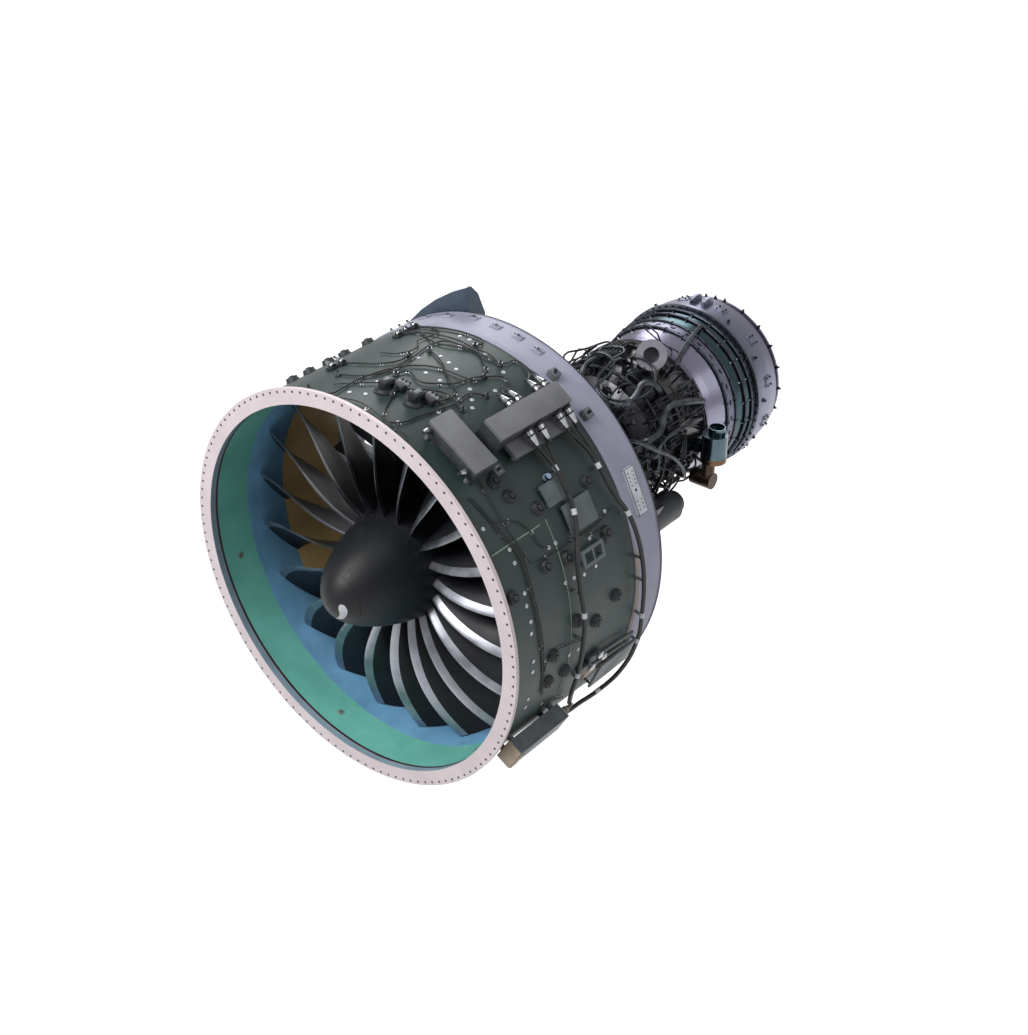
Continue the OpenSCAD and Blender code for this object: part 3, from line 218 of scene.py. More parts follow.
def heatBands(name, look):  # bare hot alloy with colour bands along the engine
    made, tree, shader, place = newFinish(name)
    first, last = look["bands"][0][0], look["bands"][-1][0]
    cloud = addNode(tree, "ShaderNodeTexNoise", {"Scale": 1000 / look["cloudMm"], "Detail": 4.0},
                    {"Vector": place})
    parts = addNode(tree, "ShaderNodeSeparateXYZ", links={"Vector": place})
    drift = addNode(tree, "ShaderNodeMath", {1: look["driftMm"] / 1000}, {0: cloud.outputs[0]},
                    operation="MULTIPLY")
    station = addNode(tree, "ShaderNodeMath", links={0: parts.outputs["Y"], 1: drift.outputs[0]})
    share = addNode(tree, "ShaderNodeMapRange", {"From Min": first, "From Max": last},
                    {"Value": station.outputs[0]})
    ramp = addNode(tree, "ShaderNodeValToRGB", links={"Fac": share.outputs[0]})
    stops = ramp.color_ramp.elements
    for i, (y, code) in enumerate(look["bands"]):
        stop = stops[i] if i < 2 else stops.new(1.0)
        stop.position = (y - first) / (last - first)
        stop.color = toLinear(code)
    gloss = addNode(tree, "ShaderNodeMapRange", {"To Min": look["rough"][0], "To Max": look["rough"][1]},
                    {"Value": cloud.outputs[0]})
    tree.links.new(ramp.outputs["Color"], shader.inputs["Base Color"])
    tree.links.new(gloss.outputs[0], shader.inputs["Roughness"])
    shader.inputs["Metallic"].default_value = 1.0
    return made


# each finish: dark and light tone, roughness from and to, cloud and grain in mm, depth of the grain

# satin epoxy on the flange: even, a little pink, soft gloss
flangePaint = mottled("SatinEpoxyPale", ("#cbbfc4", "#d8ccd0"), (0.42, 0.55), (180, 6), 0.05)
# coated carbon composite of the case: deep green, satin, faint ply shade
casePaint = mottled("CoatedCompositeGreen", ("#233231", "#2d3d3b"), (0.42, 0.54), (260, 8), 0.08)
# brushed edge sealant: grey green, matt, a little uneven
sealStrip = mottled("EdgeSealant", ("#66786f", "#7d9086"), (0.45, 0.6), (60, 5), 0.1)
# moulded silicone seal: nearly black with a red cast
sealRubber = mottled("SiliconeSealDark", ("#2c1418", "#3d2025"), (0.5, 0.65), (80, 4), 0.1)
# painted acoustic facing: clear teal, even sheen
tealFacing = mottled("AcousticFacingTeal", ("#60a89b", "#6ebaac"), (0.4, 0.52), (240, 5), 0.06)
# cast abradable track: chalky blue with a fine grit
blueTrack = mottled("AbradableTrackBlue", ("#5d8fb2", "#6ca2c8"), (0.6, 0.75), (150, 4), 0.2)
# painted acoustic facing: warm ochre, even sheen
ochreFacing = mottled("AcousticFacingOchre", ("#c0a36a", "#d8bb80"), (0.45, 0.6), (200, 5), 0.08)
# anodised ring: lavender grey with a metal sheen
ringAnodise = mottled("AnodisedRingGrey", ("#8c8c9f", "#9c9cb0"), (0.46, 0.58), (220, 6), 0.05, metal=0.1)
# coated vanes: dark grey, satin
vaneCoat = mottled("CoatedVaneDark", ("#34373d", "#40444b"), (0.4, 0.55), (120, 5), 0.06)
# polyurethane on the spinner: charcoal, soft highlight
spinnerCoat = mottled("PolyurethaneCharcoal", ("#121316", "#191a1d"), (0.42, 0.55),
                      (140, 4), 0.06, shine=0.32)
# erosion coat on the blades: nearly black, smooth
bladeCoat = mottled("ErosionCoatCharcoal", ("#15161a", "#1d1e23"), (0.34, 0.48), (160, 6), 0.05, shine=0.22)
# bare titanium edge: bright, nearly even
bladeEdge = mottled("TitaniumEdge", ("#8d8f98", "#a6a8b0"), (0.32, 0.44), (90, 3), 0.04, metal=1.0)
# ground steel: light grey, sharp highlights
groundSteel = mottled("GroundSteel", ("#8e9095", "#a6a8ad"), (0.25, 0.4), (40, 3), 0.06, metal=1.0)
# forged rotor alloy: middle grey, dull metal
rotorAlloy = mottled("RotorAlloy", ("#6f7177", "#85878d"), (0.3, 0.45), (70, 4), 0.06, metal=1.0)
# cast and welded core cases: dark, stained, uneven gloss
coreAlloy = mottled("CastCoreAlloy", ("#24262b", "#474a51"), (0.3, 0.5), (90, 9), 0.2, metal=0.8)
# drawn tube steel: grey, low shine
pipeSteel = mottled("DullTubeSteel", ("#3c3f45", "#5c6066"), (0.28, 0.42), (60, 5), 0.06, metal=0.9)
# oxidised tube: dark and dull
darkPipe = mottled("OxidisedTube", ("#232529", "#3c3f44"), (0.35, 0.5), (50, 5), 0.08, metal=0.7)
# nickel plate: bright, small sharp glints
brightFitting = mottled("NickelFitting", ("#9fa1a6", "#c9cbd0"), (0.22, 0.35), (25, 3), 0.05, metal=1.0)
# enamel on the accessories: dark grey, slight orange peel
unitPaint = mottled("AccessoryEnamel", ("#2e3034", "#3d4045"), (0.35, 0.5), (70, 6), 0.12)
# enamel on the boxes: middle grey, even
boxPaint = mottled("BoxEnamelGrey", ("#646568", "#727376"), (0.45, 0.58), (120, 5), 0.06)
# enamel on the plates: cool grey, satin
platePaint = mottled("PlateEnamelGrey", ("#4f575b", "#626a6e"), (0.38, 0.5), (90, 5), 0.08)
# enamel on the brackets: slate blue, a little metallic
bracketPaint = mottled("BracketEnamelBlue", ("#384555", "#465464"), (0.32, 0.45), (120, 6), 0.08, metal=0.3)
# moulded rubber: black, matt; the same finish also stands as painted hole shade in the flange holes and in
# the patch panel's holes
rubberAndHoleShade = mottled("MouldedRubberAndHoleShade", ("#1b1d20", "#2a2d31"), (0.5, 0.65), (30, 4), 0.15)
# braided sleeve: black, its weave coarser than real so that it shows
sleeveBlack = mottled("BraidedSleeve", ("#141517", "#2b2c2f"), (0.45, 0.6), (6, 3), 0.4)
# white enamel: cool, satin
whitePaint = mottled("WhiteEnamel", ("#b9bcc4", "#d3d5dc"), (0.35, 0.45), (60, 4), 0.04)
# tan enamel: warm, flat
tanPaint = mottled("TanEnamel", ("#a2927c", "#b8a78f"), (0.45, 0.55), (60, 4), 0.06)
# copper-toned steel: brown metal, satin
copperTone = mottled("CopperTone", ("#5c4738", "#7d634f"), (0.25, 0.4), (50, 4), 0.05, metal=1.0)
# polished tank steel: blue grey, clear reflections
tankSteel = mottled("PolishedTankSteel", ("#45545b", "#63747b"), (0.14, 0.22), (160, 6), 0.03, metal=1.0)
# polished and heat-tinted turbine case: lavender, then blue-green bands
turbineTint = heatBands("HeatTintedTurbineCase", {
    "cloudMm": 160, "driftMm": 5, "rough": (0.18, 0.32), "bands": [
        (2.66, "#6f6e80"), (2.7, "#9391a5"), (2.815, "#9a98ac"), (2.824, "#6a6977"), (2.886, "#6a6977"),
        (2.895, "#3f5259"), (2.96, "#445a60"), (2.972, "#5b5f67"), (3.0, "#5b5f67"), (3.012, "#4c6066"),
        (3.085, "#5f6a75"), (3.11, "#777683")]})
# hot diffuser alloy: dark grey to pale, satin
diffuserTint = heatBands("HeatTintedDiffuser", {
    "cloudMm": 90, "driftMm": 60, "rough": (0.28, 0.45), "bands": [
        (2.06, "#46484d"), (2.2, "#5a5a5e"), (2.33, "#4a4a4f"), (2.44, "#5f5d63"), (2.55, "#6e6a68"),
        (2.68, "#7a7882")]})
# blasted exhaust alloy: pale lavender, satin
exhaustTint = heatBands("SatinExhaustAlloy", {
    "cloudMm": 130, "driftMm": 30, "rough": (0.32, 0.46), "bands": [
        (3.11, "#7a7a8c"), (3.2, "#8a8a9c"), (3.32, "#9292a4"), (3.42, "#828090")]})
# oxidised ring tubes: dark blue grey, shiny
ringTube = mottled("OxidisedRingTube", ("#3a3d44", "#5c606a"), (0.25, 0.38), (70, 5), 0.05, metal=1.0)
# bronze can: brown metal, satin
bronzeCan = mottled("BronzeCan", ("#3a302b", "#5a4a40"), (0.26, 0.4), (60, 4), 0.05, metal=0.9)
# beige sealant: warm, flat
beigeSealant = mottled("BeigeSealant", ("#9c9189", "#b3a89d"), (0.5, 0.62), (90, 5), 0.06)
# enamel on the duct: warm grey, even
ductPaint = mottled("DuctEnamelGrey", ("#72717c", "#84838e"), (0.4, 0.55), (80, 5), 0.05)
# painted shade inside the lip: pale blue grey, darker than the flange paint it stands for where the bore lies
# in shade, satin
lipShadePaint = mottled("LipPaintedShadeBlueGrey", ("#7f95a3", "#8ea4b2"), (0.42, 0.55), (160, 5), 0.05)
# enamel on the cap: light blue, satin
capPaint = mottled("CapEnamelBlue", ("#7f99b5", "#9db5cd"), (0.35, 0.48), (30, 4), 0.05)
print("finishes made")


# finishes of the solids that stay

nodeFinish = {
    "front_attach_ring": flangePaint, "inlet_seal": sealRubber, "fan_case": casePaint,
    "inlet_liner": tealFacing, "fan_track_liner": blueTrack, "rear_liner": ochreFacing,
    "rear_ring": ringAnodise, "exit_guide_vanes": vaneCoat, "fan_hub": rotorAlloy, "fan_shaft": groundSteel,
    "ring_gear": groundSteel, "gear_carrier": coreAlloy, "sun_gear": groundSteel, "bearings": groundSteel,
    "core_inlet_body": coreAlloy, "low_compressor_case": coreAlloy, "intermediate_case": coreAlloy,
    "low_shaft": groundSteel, "low_compressor_rotor": rotorAlloy, "low_turbine_rotor": rotorAlloy,
    "high_shaft": groundSteel, "high_compressor_rotor": rotorAlloy, "high_turbine_rotor": rotorAlloy,
    "high_compressor_case": coreAlloy, "diffuser_case": diffuserTint,
    "combustor": diffuserTint, "fuel_nozzles": pipeSteel, "fuel_ring": darkPipe,
    "high_turbine_case": diffuserTint, "low_turbine_case": turbineTint, "clearance_rings": ringTube,
    "exhaust_case": exhaustTint, "exhaust_struts": exhaustTint, "rear_lugs": exhaustTint,
    "rear_bearing_cover": exhaustTint, "accessory_gearbox": coreAlloy,
    "starter": unitPaint, "generator": unitPaint, "fuel_pump": unitPaint, "hydraulic_pump": unitPaint,
    "oil_tank": tankSteel, "oil_filter": bronzeCan, "bleed_duct": ductPaint, "air_pipes": pipeSteel,
    "oil_pipes": pipeSteel, "control_boxes": boxPaint,
    "case_plates": platePaint, "top_bracket": bracketPaint, "lower_box": platePaint,
    "harness_clamps": brightFitting,
}
for number in range(1, 6):
    nodeFinish[f"star_gear_{number}"] = groundSteel
for name, finish in nodeFinish.items():
    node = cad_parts[name]
    node.data.materials.clear()
    node.data.materials.append(finish)
print("solids finished")


# spinner and its nose cap

spinnerLook = {"base": 0.300, "length": 0.425, "radius": 0.295, "bulge": 1.3, "cap": 0.080, "wall": 0.008,
               "steps": 96, "seam": 0.0012, "seat": 0.020, "capStep": 0.012, "bolts": 8, "firstBolt": 20,
               "boltBack": 0.020, "boltRadius": 0.007, "boltHeight": 0.004, "boltSink": 0.002}
noseY = spinnerLook["base"] - spinnerLook["length"]
capY = noseY + spinnerLook["cap"]


def spinnerRadius(y):
    reach = (spinnerLook["base"] - y) / spinnerLook["length"]
    return spinnerLook["radius"] * math.sqrt(max(0, 1 - reach ** spinnerLook["bulge"]))


bm = bmesh.new()
rows = 30
outer = [capY + (spinnerLook["base"] - capY) * k / rows for k in range(rows + 1)]
shell = [(spinnerRadius(outer[0]) - spinnerLook["seat"], outer[0])]
shell += [(spinnerRadius(y), y) for y in outer]
shell += [(spinnerRadius(y) - spinnerLook["wall"], y) for y in reversed(outer[1:])]
turned(bm, shell, spinnerLook["steps"])
for k in range(spinnerLook["bolts"]):
    clock = spinnerLook["firstBolt"] + 360 * k / spinnerLook["bolts"]
    spot = capY + spinnerLook["boltBack"]
    lean = outward(clock) * 0.80 + Vector((0, -0.60, 0))  # square to the skin here
    stack(bm, atRadius(spot, clock, spinnerRadius(spot) - spinnerLook["boltSink"]), lean,
          [(spinnerLook["boltRadius"], spinnerLook["boltRadius"] * 0.8, spinnerLook["boltHeight"], 1)], 12)
finishPiece("SpinnerShell", bm, [spinnerCoat, darkPipe], fan, ["spinner"])

bm = bmesh.new()
rows = 14
noseRows = [noseY + (capY - spinnerLook["seam"] - noseY) * (k / rows) ** 1.6 for k in range(rows + 1)]
cap = [(spinnerRadius(y), y) for y in noseRows]
cap += [(spinnerRadius(capY) - spinnerLook["capStep"], capY), (0, capY)]
turned(bm, cap, spinnerLook["steps"])
finishPiece("SpinnerNoseCap", bm, [spinnerCoat], fan, ["spinner_cap"])

markLook = {"first": 70, "last": 178, "reach": 0.070, "drift": 0.022, "wide": 0.026, "lift": 0.0009}


def noseHeight(radius):  # station of the spinner's skin at this radius
    share = 1 - (radius / spinnerLook["radius"]) ** 2
    return spinnerLook["base"] - spinnerLook["length"] * share ** (1 / spinnerLook["bulge"])


bm = bmesh.new()  # painted comma that shows whether the fan turns
made = bmesh.ops.create_grid(bm, x_segments=18, y_segments=8, size=1)
for vert in made["verts"]:
    along, across = (vert.co.x + 1) / 2, vert.co.y
    half = markLook["wide"] * min(1, 4 * along) ** 0.5 * (1 - along) ** 0.8
    radius = markLook["reach"] + markLook["drift"] * along + half * across
    clock = markLook["first"] + (markLook["last"] - markLook["first"]) * along
    vert.co = atRadius(noseHeight(radius) - markLook["lift"], clock, radius)
finishPiece("NoseMark", bm, [whitePaint], fan)
print("spinner made")


# fan blades: the solids' own section rule, in finer steps, with a bright metal edge

bladeLook = {"count": 20, "first": 10, "root": 0.275, "tip": 1.021, "edgeRoot": 0.300, "edgeTip": 1.022,
             "around": 14, "spans": 30, "sheath": 4, "gap": 0.15, "edgeHalf": 0.0007,
             "edgeY": (0.318, -0.311, 0.528, -0.180), "edgeClock": (3.9, 8.85, -6, -5.9),
             "chord": (0.236, 0.150, -0.073), "lean": (8, 57, -10.5), "thick": (0.024, -0.017),
             "camber": (0.1, -0.075), "rootPlace": (0, 0.43, 0.262), "rootSize": (0.030, 0.258, 0.044),
             "platform": [(0.295, 0.300), (0.378, 0.560), (0.364, 0.560), (0.281, 0.300)]}


def alongSpan(key, u):  # one size of the section at a share of the span
    return sum(term * u ** power for power, term in enumerate(bladeLook[key]))


def bladePoint(radius, share, side):
    u = (radius - bladeLook["edgeRoot"]) / (bladeLook["edgeTip"] - bladeLook["edgeRoot"])
    chord = alongSpan("chord", u)
    lean = math.radians(alongSpan("lean", u))
    bow = 4 * share * (1 - share)
    half = bladeLook["edgeHalf"] + alongSpan("thick", u) / 2 * bow ** 0.6 if 0 < share < 1 else 0
    off = chord * alongSpan("camber", u) * bow + side * half
    y = alongSpan("edgeY", u) + chord * share * math.cos(lean) - off * math.sin(lean)
    swing = chord * share * math.sin(lean) + off * math.cos(lean)
    return atRadius(y, alongSpan("edgeClock", u) - math.degrees(swing / radius), radius)


def addBlade(bm, clock):
    turn = clockTurn(clock)
    made = bmesh.ops.create_grid(bm, x_segments=2 * bladeLook["around"], y_segments=bladeLook["spans"],
                                 size=1)
    sheathEnd = bladeLook["sheath"] / bladeLook["around"]
    faces = {f for v in made["verts"] for f in v.link_faces}
    for face in faces:
        face.material_index = 1 if abs(face.calc_center_median().x) < sheathEnd else 0
    for vert in made["verts"]:
        radius = bladeLook["root"] + (bladeLook["tip"] - bladeLook["root"]) * (vert.co.y + 1) / 2
        share = min(1, abs(vert.co.x)) ** 1.5
        vert.co = turn @ bladePoint(radius, round(share, 6), 1 if vert.co.x > 0 else -1)
    bmesh.ops.remove_doubles(bm, verts=made["verts"], dist=1e-6)
    closeHoles(bm)


def addPlatform(bm, clock):
    width = 360 / bladeLook["count"] - bladeLook["gap"]
    sweep(bm, [atRadius(y, clock - width / 2, r) for r, y in bladeLook["platform"]], width, 6)
    closeHoles(bm)


bm = bmesh.new()
for k in range(bladeLook["count"]):
    clock = bladeLook["first"] + 360 * k / bladeLook["count"]
    addBlade(bm, clock)
    addPlatform(bm, clock)
    block(bm, clockTurn(clock), bladeLook["rootPlace"], bladeLook["rootSize"])  # root in the hub slot
finishPiece("FanBlades", bm, [bladeCoat, bladeEdge], fan, ["fan_blades"], 50)
print("fan made")


# fan case: rivets, seams, spots on the liner

rivetLook = {"radius": 0.0105, "height": 0.003, "pip": 0.002, "spots": [
    (0.928, -0.9), (0.928, 2.5), (0.823, 2.8), (0.860, 6.6), (0.876, 10.3), (0.694, 3.0), (0.675, 6.8),
    (0.612, -0.8), (0.657, 10.2), (0.520, 6.1), (0.299, 0.1), (0.136, -1.5), (0.170, 2.4), (0.521, 11.0),
    (0.600, 15.0), (0.590, 18.1), (0.745, 16.2), (0.835, 18.5), (0.800, 20.9), (0.693, 22.2), (0.540, 21.2),
    (0.500, 23.3), (0.489, 19.4), (0.332, 19.6), (0.117, 16.4), (0.069, 7.7), (0.086, 51.3), (0.173, 59.1),
    (0.170, 62.7), (0.168, 70.9), (0.160, 74.2), (0.167, 78.8), (0.159, 82.0), (0.164, 90.5), (0.162, 93.8),
    (0.162, 103.3), (0.160, 106.4), (0.446, 75.0), (0.511, 75.2), (0.586, 76.1), (0.405, 64.2), (0.456, 64.2),
    (0.340, 58.6), (0.841, 64.3), (0.679, 76.0), (0.682, 68.2), (0.451, 97.2), (0.522, 97.4)]}
bm = bmesh.new()
for y, clock in rivetLook["spots"]:
    stack(bm, onCase(y, clock, -sink), outward(clock), [
        (rivetLook["radius"], rivetLook["radius"], rivetLook["height"], 0),
        (rivetLook["radius"] * 0.6, rivetLook["radius"] * 0.35, rivetLook["pip"], 1)], 14)
finishPiece("BarrelRivets", bm, [whitePaint, brightFitting])

nutAndHoleShadeLook = {"count": 120, "radius": 1.093, "size": 0.0095, "face": 0.0202, "flange": 0.005, "height": 0.007,
           "sleeve": 0.0047, "sleeveBack": 0.0015, "sleeveLength": 0.016,
           "rim": [(0.0042, -0.0006), (0.0068, -0.0006), (0.0068, 0.0003), (0.0042, 0.0003)]}
bm = bmesh.new()  # anchor nuts behind the flange holes
for k in range(nutAndHoleShadeLook["count"]):
    clock = 360 * k / nutAndHoleShadeLook["count"]
    stack(bm, atRadius(nutAndHoleShadeLook["face"], clock, nutAndHoleShadeLook["radius"]), (0, 1, 0), [
        (nutAndHoleShadeLook["size"], nutAndHoleShadeLook["size"], nutAndHoleShadeLook["flange"], 0),
        (nutAndHoleShadeLook["size"] * 0.8, nutAndHoleShadeLook["size"] * 0.7, nutAndHoleShadeLook["height"], 0)], 10)
finishPiece("FlangeNuts", bm, [darkPipe])
bm = bmesh.new()  # painted hole shade: dark sleeves a little back in the flange holes, each with a thin dark rim on the face, stand in for the shadow inside the holes
for k in range(nutAndHoleShadeLook["count"]):
    clock = 360 * k / nutAndHoleShadeLook["count"]
    stack(bm, atRadius(nutAndHoleShadeLook["sleeveBack"], clock, nutAndHoleShadeLook["radius"]), (0, 1, 0), [
        (nutAndHoleShadeLook["sleeve"], nutAndHoleShadeLook["sleeve"], nutAndHoleShadeLook["sleeveLength"], 0)], 10)
    sweep(bm, [atRadius(y, clock, nutAndHoleShadeLook["radius"] + r) for r, y in nutAndHoleShadeLook["rim"]], 360, 12,
          atRadius(0, clock, nutAndHoleShadeLook["radius"]))
finishPiece("FlangeHoleShade", bm, [rubberAndHoleShade])

seamLook = {"width": 0.007, "height": 0.0012, "thick": 0.006, "rings": [(0.453, 57.5, 112)],
            "lines": [(58, 0.05, 0.45)]}
bm = bmesh.new()
for y, first, last in seamLook["rings"]:
    wide = seamLook["width"] / 2
    low, high = caseRadius(y) - sink, caseRadius(y) + seamLook["height"]
    shape = [(low, y - wide), (high, y - wide), (high, y + wide), (low, y + wide)]
    sweep(bm, [atRadius(at, first, r) for r, at in shape], last - first, 40)
for clock, first, last in seamLook["lines"]:
    middle = (first + last) / 2
    block(bm, clockTurn(clock), (0, middle, caseRadius(middle)),
          (seamLook["width"], last - first, seamLook["thick"]))
finishPiece("BarrelSeamLines", bm, [sealStrip])

spotLook = {"radius": 0.022, "liner": 1.0302, "spots": [
    (0.156, -103.7), (0.154, -164.4), (0.156, 136), (0.154, 16), (0.156, 76)]}
bm = bmesh.new()
for y, clock in spotLook["spots"]:
    stack(bm, atRadius(y, clock, spotLook["liner"]), -outward(clock), [
        (spotLook["radius"], spotLook["radius"] * 0.94, 0.0016, 0), (0.009, 0.008, 0.001, 1)], 24)
finishPiece("LinerProbes", bm, [sealStrip, platePaint])

lipShadeLook = {"bore": 1.027, "flare": 0.005, "ring": 0.042, "front": 0.002, "rear": 0.0410, "proud": 0.0007,
              "steps": 160}
bm = bmesh.new()  # painted shade: a thin blue-grey skin inside the front ring's bore, where the flange paint lies in shade
slope = lipShadeLook["flare"] / lipShadeLook["ring"]
low, high, proud = lipShadeLook["front"], lipShadeLook["rear"], lipShadeLook["proud"]
corners = [(low, proud), (high, proud), (high, -sink), (low, -sink), (low, proud)]
turned(bm, [(lipShadeLook["bore"] + slope * y - off, y) for y, off in corners], lipShadeLook["steps"])
finishPiece("LipShadeLining", bm, [lipShadePaint])

beadLook = {"seat": 1.0350, "crown": 1.0288, "round": 0.001, "first": 0.0405, "last": 0.0532, "steps": 160}
bm = bmesh.new()  # crown of the rubber seal between lip and liner
low, high = beadLook["first"], beadLook["last"]
seat, crown = beadLook["seat"], beadLook["crown"]
edge = crown + beadLook["round"]
turned(bm, [(seat, low), (edge, low), (crown, (low + high) / 2), (edge, high), (seat, high), (seat, low)],
       beadLook["steps"])
finishPiece("InletSealBead", bm, [sealRubber])
print("case details made")


# bumpers: moulded rubber rings with a raised middle

bumperLook = {"spots": [
    (0.288, 42.8), (0.322, 47.9), (0.438, 54.1), (0.802, 55), (0.800, 69.3), (0.345, 67.8), (0.494, 69.1),
    (0.086, 70), (0.810, 87.9), (0.494, 87.3), (0.648, 91.6), (0.314, 93.1), (0.431, 101.9), (0.299, 101.5),
    (0.300, -34), (0.420, -34), (0.560, -34), (0.680, -34), (0.860, -34), (0.300, -62), (0.560, -62),
    (0.860, -62), (0.430, -90), (0.700, -90)],
    "profile": [(0.0370, -0.001), (0.0370, 0.004), (0.0335, 0.007), (0.0320, 0.019), (0.0285, 0.024),
                (0.0230, 0.0245), (0.0190, 0.021), (0.0165, 0.018), (0.0150, 0.024), (0.0125, 0.029),
                (0.0, 0.031)]}
bm = bmesh.new()
for y, clock in bumperLook["spots"]:
    turned(bm, bumperLook["profile"], 20, onCase(y, clock), outward(clock))
finishPiece("BarrelBumpers", bm, [rubberAndHoleShade], still, ["bumpers"], 50)


# control boxes: lids, corner lugs, connectors

connectorSteps = [(0.026, 0.026, 0.014, 1), (0.021, 0.021, 0.020, 0), (0.024, 0.024, 0.008, 1),
                  (0.021, 0.010, 0.052, 0), (0.011, 0.009, 0.020, 1)]


def addConnector(bm, foot, way, size=1.0):  # socket, nut, collar, cone and boot in two finishes by turns
    stack(bm, foot, way, scaled(connectorSteps, size), 18)


boxLook = {"front": {"clock": 31.9, "y": 0.2085, "top": 1.190, "size": (0.334, 0.149)},
           "rear": {"clock": 33.85, "y": 0.617, "top": 1.236, "size": (0.128, 0.534)},
           "lid": 0.005, "edge": 0.002, "trayFoot": 1.112, "trayTop": 0.016, "trayProud": 0.001}
bm = bmesh.new()
for box in (boxLook["front"], boxLook["rear"]):
    block(bm, clockTurn(box["clock"]), (0, box["y"], box["top"]), (*box["size"], boxLook["lid"] * 2),
          boxLook["edge"])
finishPiece("BoxLids", bm, [boxPaint])

bm = bmesh.new()  # dark trays under the lids
for box in (boxLook["front"], boxLook["rear"]):
    width, length = (side + boxLook["trayProud"] for side in box["size"])
    low, high = boxLook["trayFoot"], box["top"] - boxLook["trayTop"]
    block(bm, clockTurn(box["clock"]), (0, box["y"], (low + high) / 2), (width, length, high - low),
          boxLook["edge"])
finishPiece("BoxTrays", bm, [unitPaint])

lugLook = {"size": (0.055, 0.055, 0.040), "middle": 0.016, "top": 0.035, "edge": 0.004,
           "spots": [(0.330, 26.5), (0.330, 41.0), (1.036, 26.9), (1.022, 40.4)]}
bm = bmesh.new()
for y, clock in lugLook["spots"]:
    turn = clockTurn(clock)
    base = caseRadius(y)
    block(bm, turn, (0, y, base + lugLook["middle"]), lugLook["size"], lugLook["edge"])
    stack(bm, turn @ Vector((0, y, base + lugLook["top"])), outward(clock), [
        (0.016, 0.016, 0.004, 1), (0.011, 0.010, 0.010, 2)], 12)
finishPiece("BoxCornerLugs", bm, [platePaint, brightFitting, darkPipe])

plugLook = {"up": [0.590, 0.655, 0.800, 0.860], "down": [0.560, 0.645, 0.790, 0.860], "across": 0.062,
            "radius": 1.196, "front": (0.120, -0.140), "frontY": 0.140, "frontRadius": 1.150,
            "frontSize": 0.7}
bm = bmesh.new()
rear = boxLook["rear"]
for side, places in ((-1, plugLook["up"]), (1, plugLook["down"])):
    for y in places:
        foot = clockTurn(rear["clock"]) @ Vector((side * plugLook["across"], y, plugLook["radius"]))
        way = around(rear["clock"]) * side * 0.94 - outward(rear["clock"]) * 0.30 + Vector((0, 0.12, 0))
        addConnector(bm, foot, way)
front = boxLook["front"]
for across in plugLook["front"]:
    foot = clockTurn(front["clock"]) @ Vector((across, plugLook["frontY"], plugLook["frontRadius"]))
    addConnector(bm, foot, outward(front["clock"]) * 0.3 - Vector((0, 1, 0)), plugLook["frontSize"])
finishPiece("BoxConnectors", bm, [brightFitting, rubberAndHoleShade])
print("boxes dressed")


# wiring

harnessLook = {"radius": 0.012, "front": [
    (0.612, 41.3, 1.138), (0.614, 44, 1.139), (0.623, 48, 1.140), (0.616, 53.5, 1.140),
    (0.599, 59.3, 1.140), (0.553, 65.6, 1.140), (0.508, 70.6, 1.140), (0.487, 78.2, 1.140),
    (0.494, 84.8, 1.140), (0.489, 92.1, 1.140), (0.487, 103.5, 1.140), (0.500, 111, 1.140),
    (0.560, 118, 1.140)],
    "rear": [
    (0.850, 41.3, 1.138), (0.852, 44, 1.140), (0.868, 48.5, 1.150), (0.873, 52.8, 1.152),
    (0.891, 60.9, 1.152), (0.939, 67, 1.152), (0.964, 73.6, 1.152), (0.974, 80.1, 1.152),
    (0.979, 86.8, 1.152), (0.990, 97.9, 1.152), (1.000, 106.8, 1.164), (0.960, 118, 1.176),
    (0.860, 124, 1.172), (0.740, 126, 1.160)],
    "bands": [("front", 2), ("front", 4), ("front", 8), ("front", 10), ("rear", 3), ("rear", 5), ("rear", 9),
              ("rear", 10), ("rear", 12)], "bandLength": 0.030, "bandThick": 0.0016}
routes = [[atRadius(*stop) for stop in harnessLook[key]] for key in ("front", "rear")]
tubes("MainHarnesses", routes, harnessLook["radius"], sleeveBlack, ["harnesses"])

bm = bmesh.new()
for key, k in harnessLook["bands"]:
    stops = harnessLook[key]
    spot, ahead = atRadius(*stops[k]), atRadius(*stops[min(k + 1, len(stops) - 1)])
    way = (ahead - atRadius(*stops[k - 1])).normalized()
    thick, length = harnessLook["radius"] + harnessLook["bandThick"], harnessLook["bandLength"]
    stack(bm, spot - way * length / 2, way, [(thick, thick, length, 0)], 20)
finishPiece("HarnessBands", bm, [whitePaint])

tailLook = {"stops": [(0.740, 126, 1.160), (0.660, 125.6, 1.158), (0.575, 123.6, 1.156), (0.512, 122, 1.155)],
            "plug": [(0.02125, 0.02125, 0.008, 0), (0.017, 0.0136, 0.038, 1)], "end": (0.4705, 122, 1.155)}
route = [atRadius(*stop) for stop in tailLook["stops"]]
tubes("HarnessTail", [route], harnessLook["radius"], sleeveBlack)
bm = bmesh.new()  # plug that takes the tail into the rear face of the lower box
end = atRadius(*tailLook["end"])
stack(bm, end, (route[-1] - end).normalized(), tailLook["plug"], 20)
finishPiece("HarnessTailPlug", bm, [brightFitting, tanPaint])

